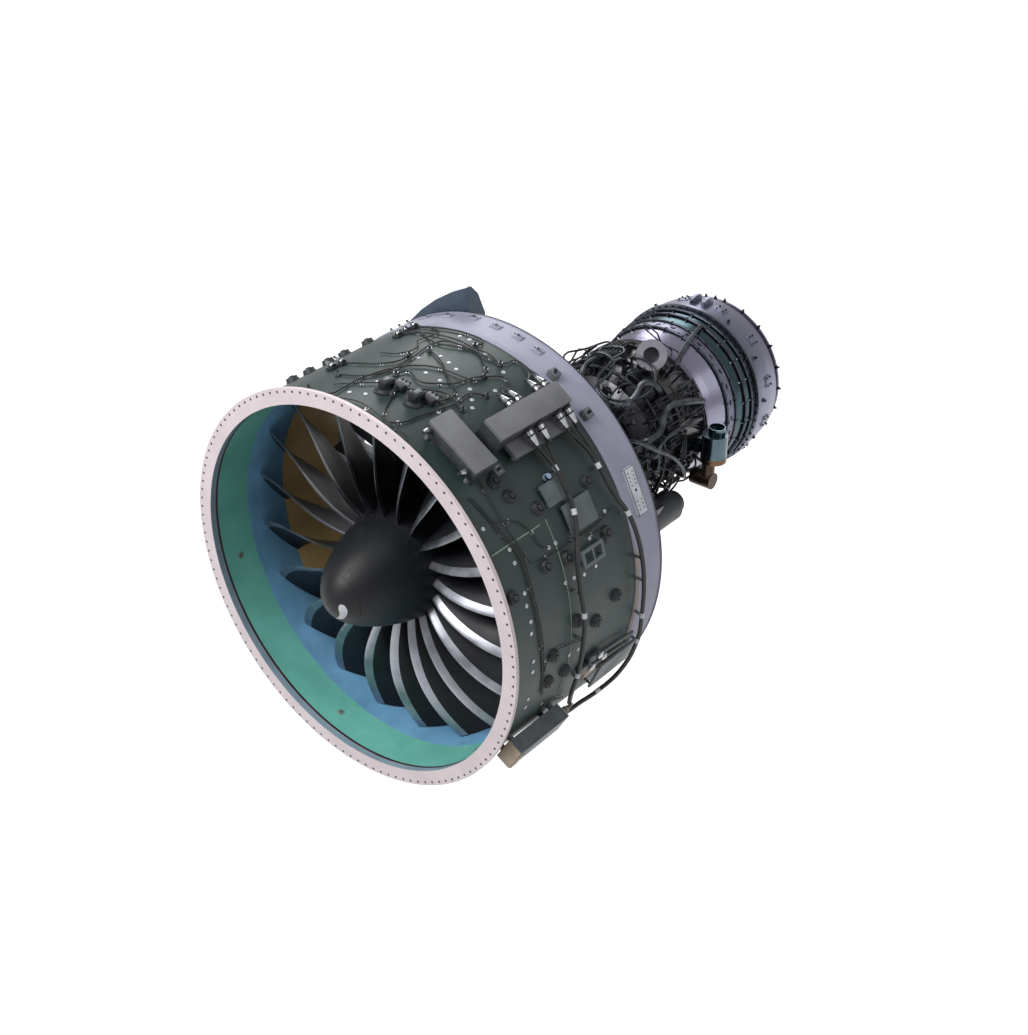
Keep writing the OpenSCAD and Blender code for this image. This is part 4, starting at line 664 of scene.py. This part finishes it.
wireLook = {"lift": 0.010, "thick": 0.0046, "thin": 0.0034, "routes": [
    [(0.259, -12), (0.294, -4.9), (0.369, -1.6), (0.466, -1.1), (0.607, -1.8), (0.744, -3),
     (0.817, -1.9), (0.840, 3.1), (0.846, 8), (0.854, 12.9), (0.886, 16.6), (0.950, 17.4),
     (0.930, 24)],
    [(0.060, -12), (0.061, -4.3), (0.141, -4), (0.245, -4.2), (0.347, -3.2), (0.448, -1.1),
     (0.534, 2.5), (0.592, 7.6), (0.620, 13.1), (0.652, 16.8), (0.741, 17.9), (0.800, 20.8),
     (0.753, 24.3), (0.690, 25.3)],
    [(0.830, -18), (0.863, -13.2), (0.783, -3), (0.819, 4.1), (0.877, 10.1), (0.860, 16)],
    [(0.880, -18), (0.865, -12.4), (0.868, -5.2), (0.870, 2.6), (0.838, 10.1), (0.760, 15.5)],
    [(0.244, 7.9), (0.108, 12.1), (0.070, 14.4), (0.111, 17), (0.226, 18.1), (0.344, 19.2), (0.436, 20),
     (0.557, 19.5), (0.620, 22.5)],
    [(0.400, 1.5), (0.457, 2.7), (0.429, 8.4), (0.490, 12.3), (0.552, 14.5), (0.657, 15.7), (0.720, 17)],
    [(0.405, -18.8), (0.408, -14), (0.419, -9.9), (0.450, -6), (0.520, -3.2), (0.600, -3.4)],
    [(0.300, 13.9), (0.340, 16), (0.430, 17.6), (0.500, 17.4), (0.560, 12), (0.640, 6), (0.700, -1)],
    [(0.280, 7), (0.350, 9.6), (0.420, 13), (0.460, 17), (0.440, 22.5)],
    [(0.949, -18.9), (0.940, -12), (0.953, -5.5), (0.960, 0), (0.940, 6.7), (0.885, 6.3)]], "fine": [
    [(0.050, -20), (0.040, -12), (0.036, -6.7), (0.045, -1.3), (0.081, 3.3), (0.082, 7.5), (0.070, 13.1),
     (0.068, 18.3), (0.076, 22.1)],
    [(0.106, 43), (0.160, 54.9), (0.205, 62.2), (0.202, 70.7), (0.208, 81), (0.216, 88), (0.257, 104.7)],
    [(0.118, 43.5), (0.172, 54.4), (0.217, 61.9), (0.214, 70.7), (0.220, 81), (0.228, 88),
     (0.269, 104.7)],
    [(0.215, 40.8), (0.209, 43.6), (0.204, 47.5), (0.207, 53.1), (0.226, 59.5), (0.248, 63.6),
     (0.290, 65.3), (0.368, 65.9), (0.490, 66.1), (0.617, 66.1), (0.714, 66.1), (0.804, 65.4),
     (0.879, 64.5), (0.925, 65.2)],
    [(0.162, 51.2), (0.241, 52.8), (0.299, 55), (0.331, 58.3), (0.348, 61.9), (0.395, 64)],
    [(0.624, 65.4), (0.701, 67.5), (0.770, 68.4), (0.780, 72)],
    [(0.248, 96), (0.250, 93.5), (0.302, 91.9), (0.398, 92.2), (0.499, 93.9), (0.566, 94.7)],
    [(0.321, 114.2), (0.331, 111.9), (0.430, 113.5), (0.529, 116.5)],
    [(0.150, -8), (0.230, -2), (0.300, 3), (0.330, 8), (0.380, 12), (0.400, 17), (0.350, 22.5)],
    [(0.560, -12), (0.600, -6), (0.690, -5), (0.760, -8), (0.900, -7), (0.930, -12)]]}
for title, key, size in (("BarrelWires", "routes", "thick"), ("BarrelFineWires", "fine", "thin")):
    routes = [[onCase(y, clock, wireLook["lift"]) for y, clock in stops] for stops in wireLook[key]]
    tubes(title, routes, wireLook[size], sleeveBlack)

clipLook = {"clip": [(0.010, 0.009, 0.0035, 0), (0.004, 0.004, 0.012, 1)],
            "end": [(0.018, 0.017, 0.006, 1), (0.012, 0.012, 0.016, 0), (0.009, 0.006, 0.012, 1)]}
bm = bmesh.new()
for stops in wireLook["routes"] + wireLook["fine"]:
    for y, clock in stops[1:-1:2]:  # clip under every other bend
        stack(bm, onCase(y, clock, -sink), outward(clock), clipLook["clip"], 10)
for y, clock in [stops[k] for stops in wireLook["routes"] for k in (0, -1)]:
    stack(bm, onCase(y, clock, -sink), outward(clock), clipLook["end"], 14)
finishPiece("WireClips", bm, [brightFitting, rubberAndHoleShade])

feederLook = {"radius": 0.0075, "routes": [
    [(0.570, 38.9, 1.178), (0.585, 41.5, 1.160), (0.603, 44.5, 1.150), (0.612, 48, 1.146),
     (0.606, 54, 1.146)],
    [(0.655, 38.9, 1.178), (0.652, 41.5, 1.160), (0.640, 45, 1.150), (0.628, 49, 1.146), (0.618, 54, 1.145)],
    [(0.800, 38.9, 1.178), (0.812, 41.8, 1.160), (0.842, 45, 1.154), (0.862, 49, 1.156), (0.872, 54, 1.158)],
    [(0.870, 38.9, 1.178), (0.872, 42, 1.162), (0.880, 46, 1.158), (0.882, 50, 1.158), (0.880, 55, 1.158)],
    [(0.600, 28.6, 1.178), (0.612, 26.6, 1.150), (0.650, 25.0, 1.120), (0.690, 24.6, 1.108)],
    [(0.665, 28.6, 1.178), (0.672, 26.4, 1.150), (0.690, 24.6, 1.118), (0.735, 22.6, 1.108)],
    [(0.810, 28.6, 1.178), (0.830, 26.2, 1.160), (0.880, 24.6, 1.140), (0.930, 22.8, 1.112)],
    [(0.870, 28.6, 1.178), (0.890, 26.2, 1.165), (0.930, 25.2, 1.140), (0.955, 22.4, 1.112)]]}
tubes("ConnectorLeads", [[atRadius(*stop) for stop in route] for route in feederLook["routes"]],
      feederLook["radius"], sleeveBlack)

sideLook = {"spots": [(0.346, -19.4), (0.405, -18.8), (0.815, -18.3), (0.882, -18.6), (0.949, -18.9)],
            "foot": (0.050, 0.044, 0.014), "footMiddle": 0.006, "lift": 0.012, "aside": 0.02, "size": 0.62}
bm = bmesh.new()
for y, clock in sideLook["spots"]:
    foot = onCase(y, clock, sideLook["lift"]) + around(clock) * sideLook["aside"]
    block(bm, clockTurn(clock), (0, y, caseRadius(y) + sideLook["footMiddle"]), sideLook["foot"], 0.003, 1)
    addConnector(bm, foot, outward(clock) * 0.55 - around(clock), sideLook["size"])
finishPiece("BarrelConnectors", bm, [brightFitting, rubberAndHoleShade])

sensorLook = {"spots": [(0.255, 4.6), (0.285, 13.2)],
              "foot": [(0.050, 0.050, 0.006, 0), (0.044, 0.036, 0.012, 0), (0.030, 0.030, 0.024, 0)],
              "blocks": [((0.004, 0.012, 0.046), (0.052, 0.072, 0.028), 0.005, 0),
                         ((0.042, 0.056, 0.018), (0.074, 0.040, 0.032), 0.004, 0),
                         ((0.006, 0.010, 0.062), (0.026, 0.040, 0.006), 0.002, 1)],
              "pins": [(0.018, 0.074, 0.020), (0.042, 0.074, 0.020), (0.066, 0.074, 0.020)],
              "pin": [(0.011, 0.011, 0.022, 2), (0.010, 0.006, 0.018, 0)]}
bm = bmesh.new()
for y, clock in sensorLook["spots"]:
    turn = clockTurn(clock)
    base = caseRadius(y)
    stack(bm, onCase(y, clock, -sink), outward(clock), sensorLook["foot"], 28)
    for (across, along, lift), size, edge, index in sensorLook["blocks"]:
        block(bm, turn, (across, y + along, base + lift), size, edge, index)
    for across, along, lift in sensorLook["pins"]:
        foot = turn @ Vector((across, y + along, base + lift))
        stack(bm, foot, Vector((0, 1, 0)) + outward(clock) * 0.15, sensorLook["pin"], 12)
finishPiece("BarrelSensors", bm, [rubberAndHoleShade, platePaint, brightFitting])
print("wiring made")


# rear ring: bosses and the white patch panel

bossLook = {"spots": [(1.138, -5.2), (1.124, 3.2), (1.128, 10.7), (1.118, 17.9), (1.120, -14), (1.120, -23),
                      (1.120, -60), (1.120, -120), (1.120, 180), (1.120, 120)], "middle": 1.111, "top": 1.114,
            "pad": (0.062, 0.046, 0.008), "stud": [(0.015, 0.014, 0.006, 0), (0.009, 0.008, 0.004, 1)],
            "screw": [(0.005, 0.005, 0.003, 1)], "screwAcross": 0.023}
bm = bmesh.new()
for y, clock in bossLook["spots"]:
    turn = clockTurn(clock)
    block(bm, turn, (0, y, bossLook["middle"]), bossLook["pad"], 0.003)
    stack(bm, atRadius(y, clock, bossLook["top"]), outward(clock), bossLook["stud"], 16)
    for across in (-bossLook["screwAcross"], bossLook["screwAcross"]):
        stack(bm, turn @ Vector((across, y, bossLook["top"])), outward(clock), bossLook["screw"], 6)
finishPiece("RingBosses", bm, [ringAnodise, darkPipe])

panelLook = {"clock": 64, "y": 1.083, "size": (0.2535, 0.0755, 0.030), "top": 1.1208, "hole": 0.0042,
             "depth": 0.0014, "rows": [(-0.100, 4), (-0.004, 1), (0.052, 3)], "pitch": 0.022, "lane": 0.018}
bm = bmesh.new()
turn = clockTurn(panelLook["clock"])
block(bm, turn, (0, panelLook["y"], panelLook["top"] - panelLook["size"][2] / 2), panelLook["size"], 0.006)
# painted hole shade: the dark discs set on the panel stand for the shadow inside its holes
for start, count in panelLook["rows"]:
    for k in range(count):
        for lane in (-panelLook["lane"], panelLook["lane"]) if count > 1 else (0,):
            across = start + k * panelLook["pitch"]
            spot = turn @ Vector((across, panelLook["y"] + lane, panelLook["top"] - sink))
            size = panelLook["hole"] * (2 if count == 1 else 1)
            stack(bm, spot, outward(panelLook["clock"]), [(size, size, panelLook["depth"], 1)], 14)
finishPiece("RingPatchPanel", bm, [whitePaint, rubberAndHoleShade])

lipLook = {"steps": 160, "profile": [(1.1100, 1.1895), (1.1128, 1.1895), (1.1128, 1.1985), (1.1100, 1.1985),
                                     (1.1100, 1.1895)]}
bm = bmesh.new()  # dark sealing lip on the ring's rear edge
turned(bm, lipLook["profile"], lipLook["steps"])
finishPiece("RingRearLip", bm, [rubberAndHoleShade])

stripLook = {"first": 79, "last": 109, "front": 0.9755, "rear": 1.0005, "lift": 0.0009}
bm = bmesh.new()  # pale sealant on the ring's front chamfer
low, high = stripLook["front"], stripLook["rear"]
shape = [onCase(y, stripLook["first"], lift) for y, lift in (
    (low, -sink), (low, stripLook["lift"]), (high, stripLook["lift"]), (high, -sink))]
sweep(bm, shape, stripLook["last"] - stripLook["first"], 24)
closeHoles(bm)
finishPiece("RingFrontStrip", bm, [beigeSealant])
print("ring dressed")


# lower equipment on the case

lowerLook = {"clock": 120, "lid": [(0, 0.28, 1.192), (0.154, 0.384, 0.010)],
             "front": [(0, 0.084, 1.150), (0.150, 0.012, 0.088)],
             "step": [(0.02, 0.110, 1.196), (0.110, 0.050, 0.010)],
             "plugs": [(-0.05, 0.470, 1.156), (0, 0.470, 1.156), (0.05, 0.470, 1.156)], "plugSize": 0.8}
bm = bmesh.new()
turn = clockTurn(lowerLook["clock"])
block(bm, turn, *lowerLook["lid"], 0.002)
block(bm, turn, *lowerLook["front"], 0.003, 1)
block(bm, turn, *lowerLook["step"], 0.003, 1)
for place in lowerLook["plugs"]:
    addConnector(bm, turn @ Vector(place), (0, 1, 0), lowerLook["plugSize"])
finishPiece("LowerBoxFittings", bm, [platePaint, tanPaint])

linkLook = {"rods": [((0.690, 103.4, 1.124), (0.985, 104.6, 1.128)),
                     ((0.640, 106.2, 1.122), (0.940, 107.6, 1.126))], "rod": 0.0085,
            "plates": [(0.86, 109.6, 0.20, 1.110), (0.71, 110.4, 0.16, 1.108)], "plate": (0.052, 0.016),
            "balls": [(0.690, 103.4), (0.735, 105.4), (0.640, 106.2)], "ballFoot": 1.096,
            "ball": [(0.013, 0.013, 0.022, 2), (0.021, 0.021, 0.018, 2), (0.015, 0.011, 0.006, 2)],
            "blocks": [(0.66, 104.6), (0.59, 106.8)], "blockMiddle": 1.104, "block": (0.072, 0.084, 0.030)}
bm = bmesh.new()  # rods, joints and plates over the lower harness
for first, last in linkLook["rods"]:
    start, end = atRadius(*first), atRadius(*last)
    stack(bm, start, end - start, [(linkLook["rod"], linkLook["rod"], (end - start).length, 0)], 14)
for y, clock, length, radius in linkLook["plates"]:
    width, thick = linkLook["plate"]
    block(bm, clockTurn(clock), (0, y, radius), (width, length, thick), 0.003, 1)
for y, clock in linkLook["balls"]:
    stack(bm, atRadius(y, clock, linkLook["ballFoot"]), outward(clock), linkLook["ball"], 18)
for y, clock in linkLook["blocks"]:
    block(bm, clockTurn(clock), (0, y, linkLook["blockMiddle"]), linkLook["block"], 0.005, 3)
finishPiece("LowerLinkage", bm, [platePaint, tanPaint, brightFitting, unitPaint])

capLook = {"y": 0.572, "clock": 48.7,
           "steps": [(0.020, 0.020, 0.010, 1), (0.017, 0.017, 0.022, 0), (0.017, 0.013, 0.006, 0)]}
bm = bmesh.new()  # blue cap on a spare connector
stack(bm, onCase(capLook["y"], capLook["clock"], -sink), outward(capLook["clock"]), capLook["steps"], 20)
finishPiece("SpareConnectorCap", bm, [capPaint, brightFitting])
print("lower equipment made")


# core: bolts on the flanges

boltLook = {"steps": [(0.0075, 0.0075, 0.009, 0), (0.0045, 0.0042, 0.008, 0)], "sink": 0.002, "flanges": [
    (1.4205, 0.350, 40, -1), (1.4345, 0.350, 40, 1), (1.738, 0.318, 36, -1), (1.752, 0.318, 36, 1),
    (2.046, 0.328, 36, -1), (2.075, 0.328, 36, 1), (2.407, 0.418, 48, -1), (2.434, 0.418, 48, 1),
    (2.646, 0.430, 48, -1), (2.674, 0.430, 48, 1), (3.096, 0.535, 64, -1), (3.124, 0.535, 64, 1)]}
bm = bmesh.new()
for y, radius, count, way in boltLook["flanges"]:
    for k in range(count):
        clock = 360 * (k + 0.5) / count
        foot = atRadius(y - way * boltLook["sink"], clock, radius)
        stack(bm, foot, (0, way, 0), boltLook["steps"], 6)
finishPiece("FlangeBolts", bm, [pipeSteel])

rimLook = {"clocks": [-9.7, -1.7] + [6.3 + 16.36 * k for k in range(21)], "y": 3.412, "radius": 0.488,
           "steps": [(0.012, 0.012, 0.014, 0), (0.008, 0.007, 0.014, 1)]}
bm = bmesh.new()
for clock in rimLook["clocks"]:
    stack(bm, atRadius(rimLook["y"], clock, rimLook["radius"]), outward(clock), rimLook["steps"], 8)
finishPiece("ExhaustRimBolts", bm, [darkPipe, pipeSteel])
print("core bolts made")


# core: tubes that wrap the cases, drawn from a fixed seed

tubeLook = {"seed": 11, "count": 90, "radii": (0.005, 0.0065, 0.009), "from": 1.50, "to": 2.62,
            "clocks": (-150, 150), "lifts": (0.035, 0.125), "strides": (0.08, 0.28), "swings": (10, 26),
            "sink": 0.004}
# station and radius along the core cases
coreOutline = [(1.460, 0.308), (1.755, 0.293), (2.040, 0.280), (2.062, 0.310), (2.165, 0.400), (2.420, 0.400),
               (2.436, 0.395), (2.640, 0.408), (2.660, 0.424), (2.690, 0.438), (2.730, 0.452), (2.810, 0.480),
               (2.910, 0.502), (3.030, 0.516), (3.090, 0.520), (3.130, 0.538), (3.250, 0.534), (3.350, 0.520)]


def coreRadius(y):  # outer radius of the core cases
    for (y0, r0), (y1, r1) in zip(coreOutline, coreOutline[1:]):
        if y <= y1:
            return r0 + (r1 - r0) * max(0, y - y0) / (y1 - y0)
    return coreOutline[-1][1]


rng = random.Random(tubeLook["seed"])
groups = {radius: [] for radius in tubeLook["radii"]}
for k in range(tubeLook["count"]):
    radius = rng.choice(tubeLook["radii"])
    y = rng.uniform(tubeLook["from"], tubeLook["to"])
    clock = rng.uniform(*tubeLook["clocks"])
    lift = rng.uniform(*tubeLook["lifts"])
    stops = [(y, clock, coreRadius(y) - tubeLook["sink"]), (y, clock, coreRadius(y) + lift * 0.7)]
    for leg in range(rng.randint(2, 4)):
        if leg % 2:
            clock += rng.choice((-1, 1)) * rng.uniform(*tubeLook["swings"])
        else:
            y += rng.choice((-1, 1)) * rng.uniform(*tubeLook["strides"])
            y = min(tubeLook["to"], max(tubeLook["from"], y))
        stops.append((y, clock, coreRadius(y) + lift))
    stops.append((y, clock + 1, coreRadius(y) + lift * 0.5))
    stops.append((y, clock + 1, coreRadius(y) - tubeLook["sink"]))
    groups[radius].append([atRadius(*stop) for stop in stops])
for number, (radius, routes) in enumerate(groups.items()):
    tubes(f"CoreTubes{number + 1}", routes, radius, (darkPipe, darkPipe, pipeSteel)[number])
print("core tubes made")

turbineLook = {"strip": (2.8335, 2.8815), "lift": 0.006, "seat": 0.002, "bolts": 72, "stagger": 0.013,
               "bolt": [(0.005, 0.0045, 0.005, 1)], "windows": 30, "window": (0.030, 0.012, 0.004)}
bm = bmesh.new()  # bolted strip between the first two ring tubes
low, high = turbineLook["strip"]
edge, seat = turbineLook["lift"], turbineLook["seat"]
turned(bm, [(coreRadius(low) - seat, low), (coreRadius(low) + edge, low), (coreRadius(high) + edge, high),
            (coreRadius(high) - seat, high), (coreRadius(low) - seat, low)], 128)
middle = (low + high) / 2
for k in range(turbineLook["bolts"]):
    clock = 360 * k / turbineLook["bolts"]
    y = middle + turbineLook["stagger"] * (1 if k % 2 else -1)
    stack(bm, atRadius(y, clock, coreRadius(y) + edge - sink), outward(clock), turbineLook["bolt"], 6)
for k in range(turbineLook["windows"]):
    clock = 360 * (k + 0.3) / turbineLook["windows"]
    block(bm, clockTurn(clock), (0, middle, coreRadius(middle) + edge), turbineLook["window"], 0.001, 2)
finishPiece("TurbineStrip", bm, [exhaustTint, brightFitting, darkPipe])

ringClipLook = {"rings": [(2.822, 0), (2.893, 0), (2.985, 0.37), (3.050, 0.37)], "count": 24, "middle": 0.009,
                "size": (0.012, 0.022, 0.020), "boltAhead": 0.018, "bolt": [(0.006, 0.005, 0.008, 1)]}
bm = bmesh.new()  # clips that hold the ring tubes
for y, shift in ringClipLook["rings"]:
    for k in range(ringClipLook["count"]):
        clock = 360 * (k + shift) / ringClipLook["count"]
        base = coreRadius(y) + ringClipLook["middle"]
        block(bm, clockTurn(clock), (0, y, base), ringClipLook["size"], 0.002)
        boltY = y - ringClipLook["boltAhead"]
        stack(bm, atRadius(boltY, clock, coreRadius(boltY) - sink), outward(clock), ringClipLook["bolt"], 6)
finishPiece("RingTubeClips", bm, [darkPipe, brightFitting])

exhaustLook = {"y": 3.235, "count": 12, "first": 15, "pad": (0.074, 0.060, 0.010), "padMiddle": 0.002,
               "boltGrid": (0.024, 0.018), "boltFoot": 0.006, "bolt": [(0.007, 0.006, 0.008, 1)],
               "bossY": 3.165, "bossShift": 11, "boss": [(0.017, 0.016, 0.008, 0), (0.010, 0.009, 0.012, 1)]}
bm = bmesh.new()  # bolted pads over the struts' ends
for k in range(exhaustLook["count"]):
    clock = exhaustLook["first"] + 360 * k / exhaustLook["count"]
    turn, y = clockTurn(clock), exhaustLook["y"]
    base = coreRadius(y)
    block(bm, turn, (0, y, base + exhaustLook["padMiddle"]), exhaustLook["pad"], 0.003)
    wide, long = exhaustLook["boltGrid"]
    for across, along in ((-wide, -long), (-wide, long), (wide, -long), (wide, long)):
        foot = turn @ Vector((across, y + along, base + exhaustLook["boltFoot"]))
        stack(bm, foot, outward(clock), exhaustLook["bolt"], 6)
    y, clock = exhaustLook["bossY"], clock + exhaustLook["bossShift"]
    stack(bm, atRadius(y, clock, coreRadius(y) - sink), outward(clock), exhaustLook["boss"], 14)
finishPiece("ExhaustPads", bm, [exhaustTint, darkPipe])

fittingLook = {"seed": 5, "count": 110, "from": 1.80, "to": 2.62, "clocks": (-110, 140), "sizes": (0.7, 1.3),
               "sink": 0.004}
rng = random.Random(fittingLook["seed"])
bm = bmesh.new()  # valves, clamps and small brackets on the core cases
for k in range(fittingLook["count"]):
    y = rng.uniform(fittingLook["from"], fittingLook["to"])
    clock = rng.uniform(*fittingLook["clocks"])
    size = rng.uniform(*fittingLook["sizes"])
    base = coreRadius(y) - fittingLook["sink"]
    shade = rng.choice((0, 0, 0, 1, 2))
    if k % 3 == 0:
        valve = [(0.026, 0.026, 0.014, shade), (0.018, 0.018, 0.034, shade), (0.022, 0.020, 0.012, 0)]
        spout = [(0.010, 0.010, 0.046, shade), (0.013, 0.012, 0.010, 1)]
        stack(bm, atRadius(y, clock, base), outward(clock), scaled(valve, size), 14)
        stack(bm, atRadius(y, clock, base + 0.032 * size), around(clock), scaled(spout, size), 10)
    elif k % 3 == 1:
        unit = (0.052 * size, 0.070 * size, 0.046 * size)
        stud = [(0.012, 0.012, 0.014, 1), (0.008, 0.007, 0.010, 0)]
        block(bm, clockTurn(clock), (0, y, base + 0.020 * size), unit, 0.004, shade)
        stack(bm, atRadius(y, clock, base + 0.040 * size), outward(clock), scaled(stud, size), 10)
    else:
        tab = (0.010, 0.044 * size, 0.056 * size)
        block(bm, clockTurn(clock), (0, y, base + 0.026 * size), tab, 0.002, shade)
        stack(bm, atRadius(y, clock, base + 0.046 * size) - around(clock) * 0.012, around(clock), [
            (0.011, 0.011, 0.024, 1)], 10)
finishPiece("CoreFittings", bm, [unitPaint, pipeSteel, coreAlloy])

tankLook = {"foot": (0.600, 2.500, -0.0845), "radius": 0.078, "seat": 0.003, "proud": 0.0012, "height": 0.034}
bm = bmesh.new()  # copper-toned band at the tank's foot
low, high = tankLook["radius"] - tankLook["seat"], tankLook["radius"] + tankLook["proud"]
top = tankLook["height"]
turned(bm, [(low, 0), (high, 0), (high, top), (low, top), (low, 0)], 64, Vector(tankLook["foot"]), (0, 0, 1))
finishPiece("TankFootBand", bm, [copperTone])
print("core fittings made")


# stage: floor, light, camera

stageLook = {"floor": -2.4, "half": 70, "glow": 0.76, "matte": (0.5, 0.5, 0.5, 1), "white": (1, 1, 1, 1),
             "world": 0.46, "aim": (0, 1.2, 0)}
bm = bmesh.new()
bmesh.ops.create_grid(bm, x_segments=1, y_segments=1, size=stageLook["half"],
                      matrix=Matrix.Translation((0, 0, stageLook["floor"])))
floorMesh = bpy.data.meshes.new("StudioFloor")
bm.to_mesh(floorMesh)
bm.free()
floor = bpy.data.objects.new("StudioFloor", floorMesh)
bpy.context.collection.objects.link(floor)
floorPaint = bpy.data.materials.new("StudioPaper")
floorPaint.use_nodes = True
tree = floorPaint.node_tree
tree.nodes.remove(tree.nodes["Principled BSDF"])
path = addNode(tree, "ShaderNodeLightPath")
seen = addNode(tree, "ShaderNodeMath", links={
    0: path.outputs["Is Camera Ray"], 1: path.outputs["Is Glossy Ray"]})
seen = addNode(tree, "ShaderNodeMath", links={
    0: seen.outputs[0], 1: path.outputs["Is Transmission Ray"]}, use_clamp=True)
glow = addNode(tree, "ShaderNodeMath", {1: stageLook["glow"]}, {0: seen.outputs[0]}, operation="MULTIPLY")
matte = addNode(tree, "ShaderNodeBsdfDiffuse", {"Color": stageLook["matte"]})
light = addNode(tree, "ShaderNodeEmission", {"Color": stageLook["white"]}, {"Strength": glow.outputs[0]})
both = addNode(tree, "ShaderNodeAddShader", links={0: matte.outputs[0], 1: light.outputs[0]})
tree.links.new(both.outputs[0], tree.nodes["Material Output"].inputs["Surface"])
floorMesh.materials.append(floorPaint)

world = bpy.data.worlds.new("Studio")
world.use_nodes = True
sky = world.node_tree.nodes["Background"]
sky.inputs["Color"].default_value = stageLook["white"]
sky.inputs["Strength"].default_value = stageLook["world"]
bpy.context.scene.world = world

lampLook = [("KeyLamp", (-2.5, -6.0, 8.5), 6.0, 1150), ("SideLamp", (8.5, 2.0, 5.0), 5.0, 120),
            ("BackLamp", (-5.0, 8.0, 6.0), 5.0, 350)]
for name, place, size, power in lampLook:
    lamp = bpy.data.lights.new(name, "AREA")
    lamp.energy = power
    lamp.size = size
    holder = bpy.data.objects.new(name, lamp)
    holder.location = place
    aim = Vector(stageLook["aim"]) - Vector(place)
    holder.rotation_euler = aim.to_track_quat("-Z", "Y").to_euler()
    bpy.context.collection.objects.link(holder)

shotLook = {"place": (4.65165, -4.36235, 4.27545), "azimuth": 39.178, "elevation": 31.144,
            "focalPixels": 1500, "imageHeight": 1035, "sensor": 36}
camera = bpy.data.cameras.new("ShotCamera")
camera.sensor_width = shotLook["sensor"]
camera.lens = shotLook["sensor"] * shotLook["focalPixels"] / shotLook["imageHeight"]
holder = bpy.data.objects.new("ShotCamera", camera)
holder.location = shotLook["place"]
holder.rotation_euler = (math.radians(90 - shotLook["elevation"]), 0, math.radians(shotLook["azimuth"]))
bpy.context.collection.objects.link(holder)
bpy.context.scene.camera = holder
bpy.context.scene.view_settings.view_transform = "Standard"
print("stage set")
